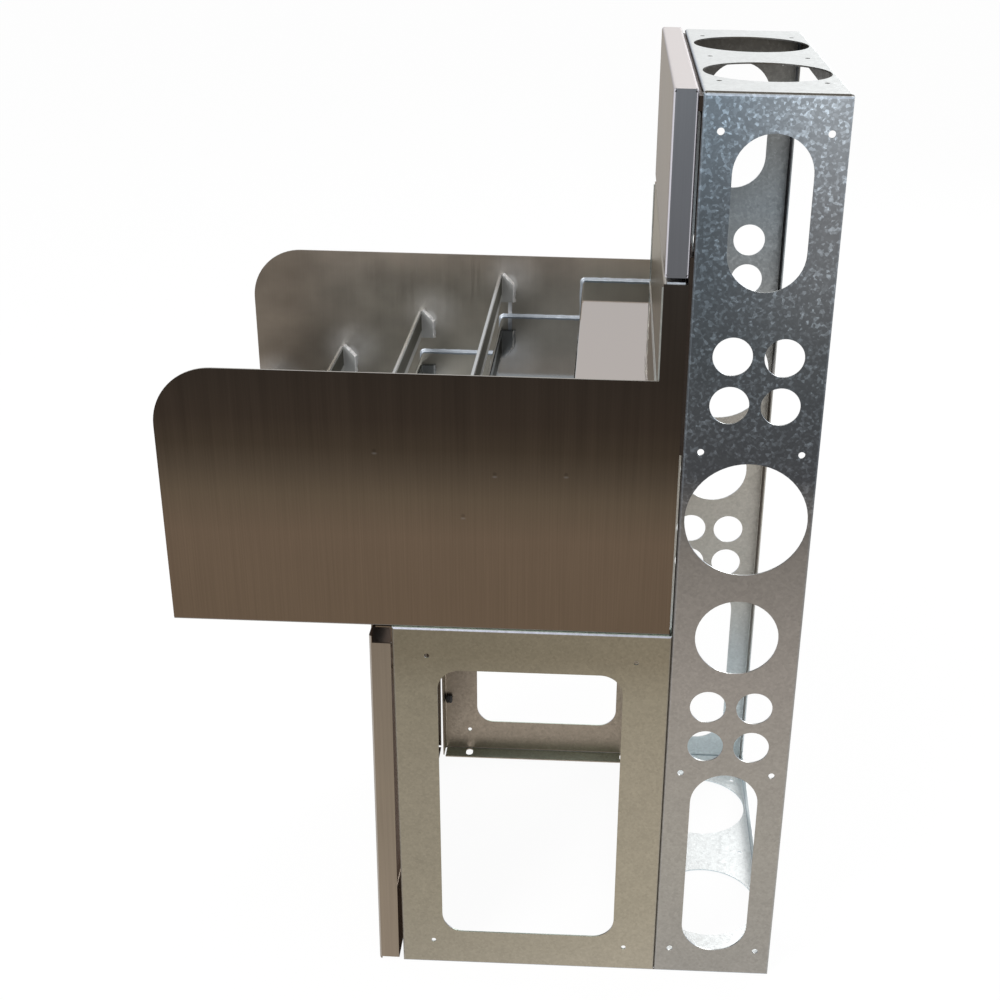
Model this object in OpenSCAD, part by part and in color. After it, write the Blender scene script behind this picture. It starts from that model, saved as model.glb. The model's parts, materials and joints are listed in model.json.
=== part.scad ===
// Underbar bottle display: a stepped stainless tray for bottles, carried on a galvanised base
// and on a galvanised bar die, the upright frame that holds the bar top.
// The front faces -Y and the die stands at the back. The origin is on the floor, at the middle
// of the overall width and depth.

/* [Overall] */
// Width of the unit, over the galvanised side panels
unit_w = 457.2; // [400:0.1:900]
// Height of the die's side panels
die_h = 1028.7; // [1020:0.1:1200]
// Depth of the die, front to back
die_d = 137; // [134:0.5:200]
// How far the stainless pieces stand in from the unit's sides
steel_inset = 1.6; // [0.5:0.1:2.5]
// Gap between the die's front and the stainless pieces, filled by the mounting rails
front_gap = 3.5; // [2:0.1:6]

/* [Sheet metal] */
// Thickness of the galvanised sheet
galv_t = 1.6; // [1.2:0.1:2]
// Thickness of the stainless sheet
steel_t = 1.5; // [1.2:0.1:2]
// Thickness of the tray's end panels
end_t = 1.9; // [1.5:0.1:2.5]
// Outside radius of the bends
bend_r = 3.2; // [2.8:0.1:4]
// Width of the galvanised flanges
flange_w = 25.4; // [23:0.1:30]

/* [Holes in the sides of the die] */
// Diameter of the holes that join one unit to the next
join_hole_d = 7; // [5:0.1:9]
// Front-to-back distance between the joining holes
join_pitch = 101.6; // [96:0.1:104]
// Height of the lowest joining holes
join_low_z = 36; // [32:0.5:40]
// Height of the second row of joining holes
join_second_z = 288; // [285:0.5:292]
// Height of the third row of joining holes
join_third_z = 677; // [672:0.5:682]
// Distance from the top edge down to the highest joining holes
join_top_drop = 34; // [31:0.5:38]
// Width of the two service slots
slot_w = 76.2; // [60:0.1:80]
// Length of the lower service slot
low_slot_len = 251.5; // [200:0.5:252]
// Height of the middle of the lower service slot
low_slot_z = 160.8; // [160:0.1:164]
// Length of the upper service slot
top_slot_len = 150; // [110:1:154]
// Height of the middle of the upper service slot
top_slot_z = 919; // [912:0.5:922]
// Diameter of the pipe holes, in two groups of four
pipe_hole_d = 39.5; // [30:0.1:42]
// Distance between the pipe holes in a group
pipe_pitch = 50.8; // [46:0.1:54]
// Height of the middle of the lower group
low_pipe_z = 350; // [346:0.5:354]
// Height of the middle of the upper group
top_pipe_z = 753.3; // [748:0.1:758]
// Diameter of the middle-sized round hole
waste_hole_d = 89; // [70:0.1:92]
// Height of the middle-sized round hole
waste_hole_z = 463.4; // [458:0.1:468]
// Diameter of the large round hole
duct_hole_d = 126.5; // [100:0.1:127]
// Height of the large round hole
duct_hole_z = 602.3; // [596:0.1:606]

/* [Top and bottom plates of the die] */
// Diameter of the two round holes in each plate
plate_hole_d = 127; // [90:0.1:128]
// Distance between the two round holes
plate_hole_pitch = 203.2; // [160:0.1:215]
// Diameter of the screw holes in the plates
plate_screw_d = 5.5; // [4:0.1:7]
// Distance from the middle pair of screw holes to each end pair
plate_screw_pitch = 165; // [150:0.5:175]

/* [Tray] */
// Height of the tray's end panels
end_h = 288; // [280:0.1:320]
// Radius of the end panels' front top corner
end_corner_r = 63.5; // [20:0.1:90]
// How far the end panels stand out in front of the lowest riser
end_lead = 8; // [4:0.5:20]
// Depth of each of the four bottle tiers
tier_run = 104; // [95:0.5:130]
// Height of each riser between tiers
tier_rise = 50.8; // [40:0.1:56]
// Height of the lowest tread above the tray's underside
first_rise = 56.5; // [50:0.1:60]
// Depth of the ledge behind the highest tier
ledge_run = 86.5; // [70:0.5:120]
// Height of the backsplash above the top of the end panels
splash_rise = 98.6; // [60:0.1:110]
// Thickness of the backsplash and of the face panel
splash_d = 24; // [20:0.5:30]
// Width of the lip turned in along the foot of each end panel
foot_w = 20; // [18:0.5:24]

/* [Bottle rails] */
// Height of the rail's strip
rail_h = 36; // [30:0.5:60]
// Thickness of the rail's strip
rail_t = 3; // [2:0.1:4]
// Outside radius of the rail's bends
rail_bend_r = 5; // [4.5:0.1:8]
// Gap between a tread and the rail over it
rail_clear = 19; // [15:0.5:50]
// Length of the tab turned back at each end of a rail
rail_tab = 18; // [14:0.5:30]
// How far the tab's top edge slopes down
rail_tab_drop = 14; // [8:0.5:26]

/* [Face panel over the backsplash] */
// Open joint between the backsplash and the face panel
face_gap = 6.5; // [4:0.5:12]
// How far the face panel stands above the top of the die
face_over = 1.5; // [0:0.1:3]
// Width of the lips that lie on the mounting rails
lip_w = 20; // [18:0.5:24]

/* [Base] */
// Height of the base
base_h = 462.5; // [450:0.1:480]
// Depth of the base, in front of the die
base_d = 302.4; // [280:0.1:330]
// Frame left in front of the base's window
window_front = 48.4; // [40:0.1:60]
// Frame left behind the base's window
window_back = 50.5; // [45:0.1:60]
// Frame left under the base's window
window_low = 48.5; // [40:0.1:60]
// Frame left over the base's window
window_top = 51.5; // [45:0.1:60]
// Corner radius of the base's window
window_r = 25.4; // [10:0.1:40]
// Diameter of the small holes near the base's corners
corner_hole_d = 5.5; // [4:0.1:7]
// Distance of the corner holes from the base's front and back edges
corner_hole_in = 37.5; // [34:0.5:39]
// Distance of the corner holes from the base's top and bottom edges
corner_hole_up = 34; // [32:0.5:36]
// Width of the anchor slots in the base's foot
anchor_w = 10; // [6:0.5:12]
// Length of the anchor slots
anchor_len = 16; // [13:0.5:18]

/* [Skirt panel] */
// Depth of the skirt panel
skirt_d = 23.5; // [20:0.5:30]
// Gap between the skirt panel and the base, at the top
skirt_gap = 1.6; // [1:0.1:4]
// How far the skirt panel leans out at the bottom, in degrees
skirt_lean = 0.5; // [0:0.05:0.6]
// Height that is cut away at the top of the skirt's side returns
return_notch_h = 20.5; // [12:0.5:40]
// Height that is cut away at the top corners of the skirt's face
corner_notch_h = 12; // [8:0.5:20]
// Width that is cut away at the top corners of the skirt's face
corner_notch_w = 18; // [10:0.5:30]
// Gap under the skirt panel
skirt_foot = 1; // [0.5:0.5:10]
// Height of the hanger that the skirt hooks on
hanger_h = 72; // [60:0.5:90]

/* [Channels across the base] */
// Height of the channels
channel_h = 50.8; // [40:0.1:60]
// Depth of the channels
channel_d = 22; // [18:0.5:26]

/* [Fasteners] */
// Diameter of the bolts
bolt_d = 6; // [5:0.1:6.5]
// Diameter of the screws and of the rivets
screw_d = 4.8; // [4:0.1:5.5]
// Play between a fastener and its hole, on the diameter
hole_play = 0.6; // [0.4:0.1:1]

/* [Hidden] */

tiers = 4;
bend_steps = 5;
hole_fn = 64;
small_fn = 32;
hex_fn = 6;
over = 1;        // overrun of every cut past the face it opens
fit_gap = 0.3;   // gap between pieces that are laid together and not clamped
galv_colour = "slategray";
steel_colour = "dimgray";
fastener_colour = "silver";
no_flange = [0, 0];
flange = [flange_w, 0];

// Places across the width
half_w = unit_w / 2;
steel_x = half_w - steel_inset;         // outer face of the stainless pieces
deck_x = steel_x - end_t;               // inner face of the tray's end panels
fastener_x = half_w - flange_w / 2;     // line of the fasteners in the upright flanges
cross_x = half_w - bend_r - fit_gap;    // ends of the rails and channels between the sides
foot_bolt_x = steel_x - foot_w / 2 - end_t / 2;

// Places from front to back
tray_reach = end_lead + tiers * tier_run + ledge_run + splash_d + front_gap;
die_y = (tray_reach - die_d) / 2;
tray_front_y = die_y - tray_reach;
tray_back_y = die_y - front_gap;
splash_y = tray_back_y - splash_d;      // face of the backsplash and of the face panel
base_y = die_y - base_d;
skirt_y = base_y - skirt_gap - skirt_d;
foot_bolt_in = base_d / 5;

// Heights
tray_z = base_h;
end_top = tray_z + end_h;
first_tread = tray_z + first_rise;
ledge_z = first_tread + tiers * tier_rise;
splash_top = end_top + splash_rise;
face_z = splash_top + face_gap;
plate_top = die_h + galv_t;
face_top = plate_top + face_over;
skirt_top = base_h - fit_gap * 2;
hanger_top = skirt_top - steel_t - fit_gap;

function riser_y(k) = tray_front_y + end_lead + k * tier_run;
function tread_z(k) = first_tread + k * tier_rise;

// Fasteners
head_d = bolt_d * 1.8;
head_h = bolt_d * 0.6;
nut_h = bolt_d * 0.8;
tail = bolt_d / 3;                      // how far a bolt or screw stands out past its nut
pan_head_d = screw_d * 1.9;
pan_head_h = screw_d * 0.5;
rivet_head_h = screw_d * 0.3;
lip_mid = (lip_w + bend_r) / 2;
splash_screw_z = splash_top - lip_mid;
face_screw_z = face_z + lip_mid;
top_screw_z = face_top - lip_mid;
screw_rows = [splash_screw_z, face_screw_z, top_screw_z];
low_channel_z = bend_r + fit_gap;
top_channel_z = base_h - bend_r - fit_gap - channel_h;
bolt_rows = [low_channel_z + channel_h / 2, top_channel_z + channel_h / 2];
rivet_rows = [hanger_top - hanger_h * 0.75, hanger_top - hanger_h * 0.35];

// Unit vector, and the normal to its left
function unit(v) = v / norm(v);
function left_of(v) = [-v[1], v[0]];
function reversed(list) = [for (i = [len(list) - 1 : -1 : 0]) list[i]];

// Outline of a sheet t thick, laid on the left of a path and bent at each of its corners.
// r is the outside radius of the bends. Both faces turn about the same centre.
function bend_at(path, i, t, r, far_side) =
    let (
        d0 = unit(path[i] - path[i - 1]),
        d1 = unit(path[i + 1] - path[i]),
        turn = sign(cross(d0, d1)),
        angle = acos(d0 * d1),
        near_r = turn > 0 ? r : r - t,
        face_r = far_side == (turn > 0) ? r - t : r,
        centre = path[i] - d0 * near_r * tan(angle / 2) + left_of(d0) * turn * near_r,
        spoke = -left_of(d0) * turn,
        start = atan2(spoke[1], spoke[0])
    )
    [for (k = [0 : bend_steps])
        let (a = start + turn * angle * k / bend_steps)
        centre + face_r * [cos(a), sin(a)]];

function face_of(path, t, r, far_side) =
    let (
        n = len(path),
        shift = far_side ? t : 0,
        first = left_of(unit(path[1] - path[0])) * shift,
        last = left_of(unit(path[n - 1] - path[n - 2])) * shift
    )
    concat(
        [path[0] + first],
        [if (n > 2) for (i = [1 : n - 2]) each bend_at(path, i, t, r, far_side)],
        [path[n - 1] + last]
    );

module bent_sheet(path, t, r = bend_r) {
    polygon(concat(face_of(path, t, r, false), reversed(face_of(path, t, r, true))));
}

// Turns a drawing in the Y-Z plane into a bar along X, with its middle at X = 0
module along_x(length) {
    translate([-length / 2, 0, 0])
        rotate([90, 0, 90])
            linear_extrude(length)
                children();
}

module both_sides(x) {
    for (side = [-1, 1])
        translate([side * x, 0, 0])
            children();
}

// Section across a panel from 0 to size. Both ends have a flange and a lip: [flange, lip].
function near_edge(f) = f[0] == 0 ? [] : f[1] == 0 ? [[0, f[0]]] : [[f[1], f[0]], [0, f[0]]];
function panel_section(size, f) = concat(
    near_edge(f),
    [[0, 0], [size, 0]],
    [for (p = reversed(near_edge(f))) [size - p[0], p[1]]]
);

module upright_fold(h, f, w, t, trim) {
    translate([0, h - trim, 0])
        rotate([90, 0, 0])
            linear_extrude(h - 2 * trim)
                bent_sheet(panel_section(w, f), t);
}

module level_fold(w, f, h, t, trim) {
    translate([trim, 0, 0])
        rotate([90, 0, 90])
            linear_extrude(w - 2 * trim)
                bent_sheet(panel_section(h, f), t);
}

// Flat panel w by h, its outer face at z = 0, with bent flanges that rise from it.
// sides are the flanges along the height, and ends are those along the width.
module panel(w, h, t, sides, ends, ends_trim = bend_r) {
    upright_fold(h, sides, w, t, bend_r);
    level_fold(w, ends, h, t, ends_trim);
    intersection() {
        upright_fold(h, sides, w, t, 0);
        level_fold(w, ends, h, t, 0);
        cube([w, h, bend_r]);
    }
}

// The same panel with closed corners: the flanges run on to them, and the bends of the lips meet
module closed_panel(w, h, t, sides, ends) {
    lip_bend_z = sides[0] - bend_r;
    panel(w, h, t, sides, ends);
    intersection() {
        union() {
            upright_fold(h, sides, w, t, 0);
            level_fold(w, ends, h, t, 0);
        }
        translate([0, 0, bend_r])
            cube([w, h, lip_bend_z - bend_r]);
    }
    intersection() {
        upright_fold(h, sides, w, t, 0);
        level_fold(w, ends, h, t, 0);
        translate([0, 0, lip_bend_z])
            cube([w, h, bend_r]);
    }
}

// Stands a panel upright, with its outer face towards -Y and its middle at X = 0
module upright(w) {
    translate([-w / 2, 0, 0])
        mirror([0, 1, 0])
            rotate([90, 0, 0])
                children();
}

// Cuts through a sheet that lies at z = 0
module sheet_hole(x, y, d, fn = small_fn) {
    translate([x, y, -over])
        cylinder(d = d, h = bend_r + over * 2, $fn = fn);
}

module sheet_slot(x, y, w, length, fn = hole_fn) {
    for (side = [-1, 1])
        sheet_hole(x, y + side * (length - w) / 2, w, fn);
    translate([x - w / 2, y - (length - w) / 2, -over])
        cube([w, length - w, bend_r + over * 2]);
}

module sheet_window(x, y, w, h, r) {
    for (cx = [x + r, x + w - r], cy = [y + r, y + h - r])
        sheet_hole(cx, cy, r * 2, hole_fn);
    translate([x + r, y, -over])
        cube([w - r * 2, h, bend_r + over * 2]);
    translate([x, y + r, -over])
        cube([w, h - r * 2, bend_r + over * 2]);
}

// Holes from front to back through the sheets that meet at the front of the die
module front_holes(rows, d, y = die_y) {
    both_sides(fastener_x)
        for (z = rows)
            translate([0, y, z])
                rotate([90, 0, 0])
                    cylinder(d = d + hole_play, h = flange_w, center = true, $fn = small_fn);
}

// Side of the die. The left one is drawn, and the right one is its mirror image.
module service_holes() {
    mid = die_d / 2;
    for (z = [join_low_z, join_second_z, join_third_z, die_h - join_top_drop], side = [-1, 1])
        sheet_hole(mid + side * join_pitch / 2, z, join_hole_d);
    for (z = [low_pipe_z, top_pipe_z], a = [-1, 1], b = [-1, 1])
        sheet_hole(mid + a * pipe_pitch / 2, z + b * pipe_pitch / 2, pipe_hole_d, hole_fn);
    sheet_hole(mid, waste_hole_z, waste_hole_d, hole_fn);
    sheet_hole(mid, duct_hole_z, duct_hole_d, hole_fn);
    sheet_slot(mid, low_slot_z, slot_w, low_slot_len);
    sheet_slot(mid, top_slot_z, slot_w, top_slot_len);
}

module die_side() {
    color(galv_colour)
        difference() {
            translate([-half_w, die_y, 0])
                rotate([90, 0, 90])
                    difference() {
                        panel(die_d, die_h, galv_t, flange, flange);
                        service_holes();
                    }
            front_holes(screw_rows, screw_d);
            front_holes(bolt_rows, bolt_d);
        }
}

// Plate across the ends of the die's sides. Its flanges stop between those of the sides.
module die_plate() {
    w = unit_w - 2 * bend_r;
    mid = die_d / 2;
    difference() {
        panel(w, die_d, galv_t, no_flange, flange, flange_w - bend_r + fit_gap);
        for (side = [-1, 1])
            sheet_hole(w / 2 + side * plate_hole_pitch / 2, mid, plate_hole_d, hole_fn);
        for (i = [-1, 0, 1], side = [-1, 1])
            sheet_hole(w / 2 + i * plate_screw_pitch, mid + side * join_pitch / 2, plate_screw_d);
    }
}

module die_top_plate() {
    color(galv_colour)
        translate([bend_r - half_w, die_y + die_d, plate_top])
            rotate([180, 0, 0])
                die_plate();
}

module die_bottom_plate() {
    color(galv_colour)
        translate([bend_r - half_w, die_y, galv_t])
            die_plate();
}

// Flat rails on the front of the die, which the stainless pieces are screwed to
module mounting_rail(low, high) {
    color(galv_colour)
        difference() {
            translate([-cross_x, tray_back_y, low])
                cube([cross_x * 2, front_gap, high - low]);
            front_holes(screw_rows, screw_d);
        }
}

module upper_mounting_rail() {
    mounting_rail(face_top - lip_w, die_h - bend_r);
}

// The lower one backs the whole backsplash, from the highest tread to the face panel's lip
module lower_mounting_rail() {
    mounting_rail(tread_z(tiers - 1), face_z + lip_w);
}

// Pan that closes the front of the die above the tray
module face_panel() {
    w = steel_x * 2;
    h = face_top - face_z;
    side_lip_w = lip_w * 0.4;
    color(steel_colour)
        difference() {
            translate([0, splash_y, face_z])
                upright(w)
                    closed_panel(w, h, steel_t, [splash_d, side_lip_w], [splash_d, lip_w]);
            front_holes(screw_rows, screw_d);
        }
}

// The backsplash stands on the ledge and turns back and down at its top
module backsplash() {
    path = [
        [tray_back_y, splash_top - lip_w],
        [tray_back_y, splash_top],
        [splash_y, splash_top],
        [splash_y, ledge_z + bend_r]
    ];
    color(steel_colour)
        difference() {
            along_x(deck_x * 2)
                bent_sheet(path, steel_t);
            front_holes(screw_rows, screw_d);
        }
}

// One sheet, bent into the ledge, the risers, the treads and the apron, from back to front
module stepped_deck() {
    back_y = splash_y + steel_t;
    foot_z = tray_z + bend_r;
    steps = [
        for (k = [tiers : -1 : 1])
            each [[riser_y(k), tread_z(k)], [riser_y(k), tread_z(k - 1)]]
    ];
    path = concat(
        [[back_y, ledge_z + foot_w], [back_y, ledge_z]],
        steps,
        [[riser_y(0), first_tread], [riser_y(0), foot_z], [riser_y(0) + foot_w, foot_z]]
    );
    color(steel_colour)
        along_x(deck_x * 2)
            bent_sheet(path, steel_t);
}

// Outline of an end panel in the Y-Z plane, above the bend at its foot
module end_outline() {
    low = tray_z + bend_r;
    r = end_corner_r;
    difference() {
        translate([tray_front_y, low])
            square([tray_back_y - tray_front_y, end_top - low]);
        translate([tray_front_y - over, end_top - r])
            square([r + over, r + over]);
    }
    translate([tray_front_y + r, end_top - r])
        circle(r = r, $fn = hole_fn);
    translate([splash_y, end_top - over])
        square([splash_d, splash_rise + over]);
}

module foot_bolt_holes() {
    for (x = [-foot_bolt_x, foot_bolt_x], y = [base_y + foot_bolt_in, die_y - foot_bolt_in])
        translate([x, y, tray_z])
            cylinder(d = bolt_d + hole_play, h = bend_r * 2, center = true, $fn = small_fn);
}

module end_panel() {
    foot = [
        [-steel_x, tray_z + bend_r * 2],
        [-steel_x, tray_z],
        [foot_w - steel_x, tray_z]
    ];
    color(steel_colour)
        difference() {
            union() {
                translate([-steel_x, 0, 0])
                    rotate([90, 0, 90])
                        linear_extrude(end_t)
                            end_outline();
                translate([0, tray_back_y, 0])
                    rotate([90, 0, 0])
                        linear_extrude(tray_back_y - tray_front_y)
                            bent_sheet(foot, end_t);
            }
            foot_bolt_holes();
        }
}

// A strip across the tray, in front of a riser, with its ends turned back along the end panels
module bottle_rail(k) {
    y = riser_y(k) - rail_t;
    z = tread_z(k) + rail_clear;
    back = y + rail_tab;
    bend_back = y + rail_bend_r;
    end_drop = rail_tab_drop * (rail_tab + over - rail_bend_r) / (rail_tab - rail_bend_r);
    path = [[-deck_x, back], [-deck_x, y], [deck_x, y], [deck_x, back]];
    slope = [
        [bend_back, z + rail_h],
        [back + over, z + rail_h - end_drop],
        [back + over, z + rail_h + over],
        [bend_back, z + rail_h + over]
    ];
    color(steel_colour)
        difference() {
            translate([0, 0, z])
                linear_extrude(rail_h)
                    bent_sheet(path, rail_t, rail_bend_r);
            both_sides(deck_x)
                along_x(rail_bend_r * 2)
                    polygon(slope);
        }
}

// Side of the base, with a window and with a foot that has anchor slots
module base_side() {
    window_w = base_d - window_front - window_back;
    window_h = base_h - window_low - window_top;
    color(galv_colour)
        difference() {
            translate([-half_w, base_y, 0])
                rotate([90, 0, 90])
                    difference() {
                        panel(base_d, base_h, galv_t, flange, flange);
                        sheet_window(window_front, window_low, window_w, window_h, window_r);
                        for (y = [corner_hole_in, base_d - corner_hole_in])
                            for (z = [corner_hole_up, base_h - corner_hole_up])
                                sheet_hole(y, z, corner_hole_d);
                    }
            for (y = [base_y + corner_hole_in, die_y - corner_hole_in])
                translate([-foot_bolt_x, y, 0])
                    rotate([0, 0, 90])
                        sheet_slot(0, 0, anchor_w, anchor_len, small_fn);
            front_holes(bolt_rows, bolt_d);
            front_holes(rivet_rows, screw_d, base_y);
            foot_bolt_holes();
        }
}

// The skirt panel hooks on the hanger by its top flange and leans out a little at the bottom
module base_skirt_panel() {
    w = steel_x * 2;
    h = skirt_top - skirt_foot;
    color(steel_colour)
        translate([0, skirt_y, skirt_top])
            rotate([-skirt_lean, 0, 0])
                translate([0, 0, -h])
                    difference() {
                        upright(w)
                            panel(w, h, steel_t, [skirt_d, 0], [skirt_d, 0]);
                        both_sides(w / 2) {
                            translate([-corner_notch_w, -over, h - corner_notch_h])
                                cube([corner_notch_w * 2, skirt_d + over * 2, corner_notch_h + over]);
                            translate([-bend_r, bend_r, h - return_notch_h])
                                cube([bend_r * 2, skirt_d, return_notch_h + over]);
                        }
                    }
}

// Angle on the front of the base that the skirt panel hooks over
module base_skirt_hanger() {
    reach_y = skirt_y + skirt_d * 0.3;
    path = [[base_y, hanger_top - hanger_h], [base_y, hanger_top], [reach_y, hanger_top]];
    hanger_x = steel_x - steel_t - bend_r;
    color(galv_colour)
        difference() {
            along_x(hanger_x * 2)
                bent_sheet(path, galv_t);
            front_holes(rivet_rows, screw_d, base_y);
        }
}

// Small blocks on the base's sides, behind its front flanges, that steady the skirt panel
module skirt_catches() {
    catch_w = bolt_d;
    catch_d = bolt_d * 1.5;
    catch_h = bolt_d * 2;
    catch_z = corner_hole_up * 2.4;
    color("black")
        both_sides(half_w - galv_t - catch_w / 2)
            translate([-catch_w / 2, base_y + bend_r, catch_z])
                cube([catch_w, catch_d, catch_h]);
}

// Channel across the back of the base, open to the front
module base_channel(z) {
    y = die_y - galv_t;
    path = [[y - channel_d, z], [y, z], [y, z + channel_h], [y - channel_d, z + channel_h]];
    color(galv_colour)
        difference() {
            along_x(cross_x * 2)
                bent_sheet(path, galv_t);
            front_holes(bolt_rows, bolt_d);
        }
}

module base_upper_channel() {
    base_channel(top_channel_z);
}

module base_lower_channel() {
    base_channel(low_channel_z);
}

// Fasteners stand on z = 0 with their shanks upwards and their heads below
module hex_bolt(grip) {
    translate([0, 0, -head_h])
        cylinder(d = head_d, h = head_h, $fn = hex_fn);
    cylinder(d = bolt_d, h = grip + nut_h + tail, $fn = small_fn);
}

module pan_screw(grip) {
    translate([0, 0, -pan_head_h])
        cylinder(d = pan_head_d, h = pan_head_h, $fn = small_fn);
    cylinder(d = screw_d, h = grip + nut_h + tail, $fn = small_fn);
}

module rivet(grip) {
    for (z = [-rivet_head_h, grip])
        translate([0, 0, z])
            cylinder(d = pan_head_d, h = rivet_head_h, $fn = small_fn);
    cylinder(d = screw_d, h = grip, $fn = small_fn);
}

module hex_nut(d) {
    difference() {
        cylinder(d = d * head_d / bolt_d, h = nut_h, $fn = hex_fn);
        translate([0, 0, -over])
            cylinder(d = d + hole_play / 2, h = nut_h + over * 2, $fn = small_fn);
    }
}

module at_foot_bolts(z) {
    for (x = [-foot_bolt_x, foot_bolt_x], y = [base_y + foot_bolt_in, die_y - foot_bolt_in])
        translate([x, y, z])
            rotate([180, 0, 0])
                children();
}

module at_rows(rows, y, towards_front) {
    both_sides(fastener_x)
        for (z = rows)
            translate([0, y, z])
                rotate([towards_front ? 90 : -90, 0, 0])
                    children();
}

module tray_bolts() {
    color(fastener_colour)
        at_foot_bolts(tray_z + end_t)
            hex_bolt(end_t + galv_t);
}

module tray_nuts() {
    color(fastener_colour)
        at_foot_bolts(tray_z - galv_t)
            hex_nut(bolt_d);
}

module base_bolts() {
    color(fastener_colour)
        at_rows(bolt_rows, die_y - 2 * galv_t, false)
            hex_bolt(galv_t * 3);
}

module base_nuts() {
    color(fastener_colour)
        at_rows(bolt_rows, die_y + galv_t, false)
            hex_nut(bolt_d);
}

module panel_screws() {
    color(fastener_colour)
        at_rows(screw_rows, die_y + galv_t, true)
            pan_screw(galv_t + front_gap + steel_t);
}

module panel_nuts() {
    color(fastener_colour)
        at_rows(screw_rows, tray_back_y - steel_t, true)
            hex_nut(screw_d);
}

module hanger_rivets() {
    color(fastener_colour)
        at_rows(rivet_rows, base_y + galv_t, true)
            rivet(galv_t * 2);
}

die_side();  // die_side_left
mirror([1, 0, 0]) die_side();  // die_side_right
die_top_plate();
die_bottom_plate();
upper_mounting_rail();
lower_mounting_rail();
face_panel();
backsplash();
stepped_deck();
end_panel();  // end_panel_left
mirror([1, 0, 0]) end_panel();  // end_panel_right
bottle_rail(0);  // bottle_rail_1
bottle_rail(1);  // bottle_rail_2
bottle_rail(2);  // bottle_rail_3
bottle_rail(3);  // bottle_rail_4
base_side();  // base_side_left
mirror([1, 0, 0]) base_side();  // base_side_right
base_skirt_panel();
base_skirt_hanger();
base_upper_channel();
base_lower_channel();
skirt_catches();
tray_bolts();
tray_nuts();
base_bolts();
base_nuts();
panel_screws();
panel_nuts();
hanger_rivets();
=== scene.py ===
"""Looks of an underbar bottle display, built around its packed sheet-metal model.

Every length is in metres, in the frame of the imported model: the origin is on the floor, +Z is up,
the front of the tray faces -Y and the bar die stands at the back.
"""

import json
import logging
import math
import random
from collections.abc import Callable, Mapping, Sequence
from dataclasses import dataclass, field, replace
from enum import Enum
from functools import partial
from typing import Any

import bmesh
import bpy
from mathutils import Matrix, Vector


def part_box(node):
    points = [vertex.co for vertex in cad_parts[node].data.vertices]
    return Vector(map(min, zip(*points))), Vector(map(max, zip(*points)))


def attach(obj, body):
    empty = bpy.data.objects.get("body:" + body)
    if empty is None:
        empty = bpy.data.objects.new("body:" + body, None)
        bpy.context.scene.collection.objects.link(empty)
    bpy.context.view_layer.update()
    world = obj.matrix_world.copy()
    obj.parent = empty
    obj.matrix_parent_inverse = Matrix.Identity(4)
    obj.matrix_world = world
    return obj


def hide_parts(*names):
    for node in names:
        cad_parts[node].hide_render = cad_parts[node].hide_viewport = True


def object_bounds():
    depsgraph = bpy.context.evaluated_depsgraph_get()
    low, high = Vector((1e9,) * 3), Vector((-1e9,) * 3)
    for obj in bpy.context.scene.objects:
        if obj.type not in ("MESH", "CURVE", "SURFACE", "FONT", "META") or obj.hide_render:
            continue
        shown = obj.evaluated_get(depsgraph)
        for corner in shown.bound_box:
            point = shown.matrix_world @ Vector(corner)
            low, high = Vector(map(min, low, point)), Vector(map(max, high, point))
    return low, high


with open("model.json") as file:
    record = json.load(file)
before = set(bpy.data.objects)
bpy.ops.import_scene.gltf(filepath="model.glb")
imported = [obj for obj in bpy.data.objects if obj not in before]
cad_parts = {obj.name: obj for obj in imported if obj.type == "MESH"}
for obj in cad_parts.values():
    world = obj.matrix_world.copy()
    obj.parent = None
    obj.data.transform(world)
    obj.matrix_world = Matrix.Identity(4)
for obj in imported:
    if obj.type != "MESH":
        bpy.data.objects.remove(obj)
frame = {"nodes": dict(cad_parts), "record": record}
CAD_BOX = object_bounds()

LOG = logging.getLogger("underbar_display")
MM = 0.001
ROOT = "root"
IMAGE_SIZE = 1000
WHITE = (1.0, 1.0, 1.0)
UP = Vector((0, 0, 1))
AHEAD = Vector((0, -1, 0))

# Brings Blender's noise, which stays near 0.5, to about -1 to 1.
NOISE_GAIN = 2.8
# What a wholly matt face loses of its metal, and what it gains in roughness.
MATT_LOSS = 0.8
MATT_ROUGHNESS = 0.5
# How far behind a sheet's front edge the faces of its front flange lie.
FLANGE_REACH = 3 * MM
# Size of a normal's part along an axis from which a face starts to look that way, and wholly does.
FACING_STEP = (0.75, 0.98)
# The same for X times the normal's X, which is about -0.22 on a side's inward face.
INWARD_STEP = (-0.12, -0.19)
# How square to the axes the middle of a bend is, and a flat face.
BEND_STEP = (0.998, 0.90)
# How steep the normal of an upright bend is at most, and of a level one at least.
LEVEL_STEP = (0.05, 0.25)

Colour = tuple[float, float, float]
Place = tuple[float, float, float]
Pair = tuple[float, float]
Names = tuple[str, ...]
Ring = list[Vector]
Section = Callable[[float], Pair]


class Slot(Enum):
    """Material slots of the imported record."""

    TRAY = "stainless_tray"
    FASTENER = "zinc_fastener"
    CATCH = "black_catch"


class Grain(Enum):
    """Direction of the brushing, as how fine the streaks are along X, Y and Z."""

    ALONG_X = (9.0, 620.0, 620.0)
    ALONG_Z = (620.0, 620.0, 7.0)


def _operator(operation: str, swapped: bool = False) -> Callable[["Field", "Operand"], "Field"]:
    """Makes the method behind a Python operator.

    Args:
        operation: Blender's name of the operation.
        swapped: The field stands at the operator's right.

    Returns:
        The method.
    """

    def method(self: "Field", other: "Operand") -> "Field":
        """Applies the operation to the field and the other operand."""
        first, second = (other, self) if swapped else (self, other)
        return self.shader.combine(operation, first, second)

    return method


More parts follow.
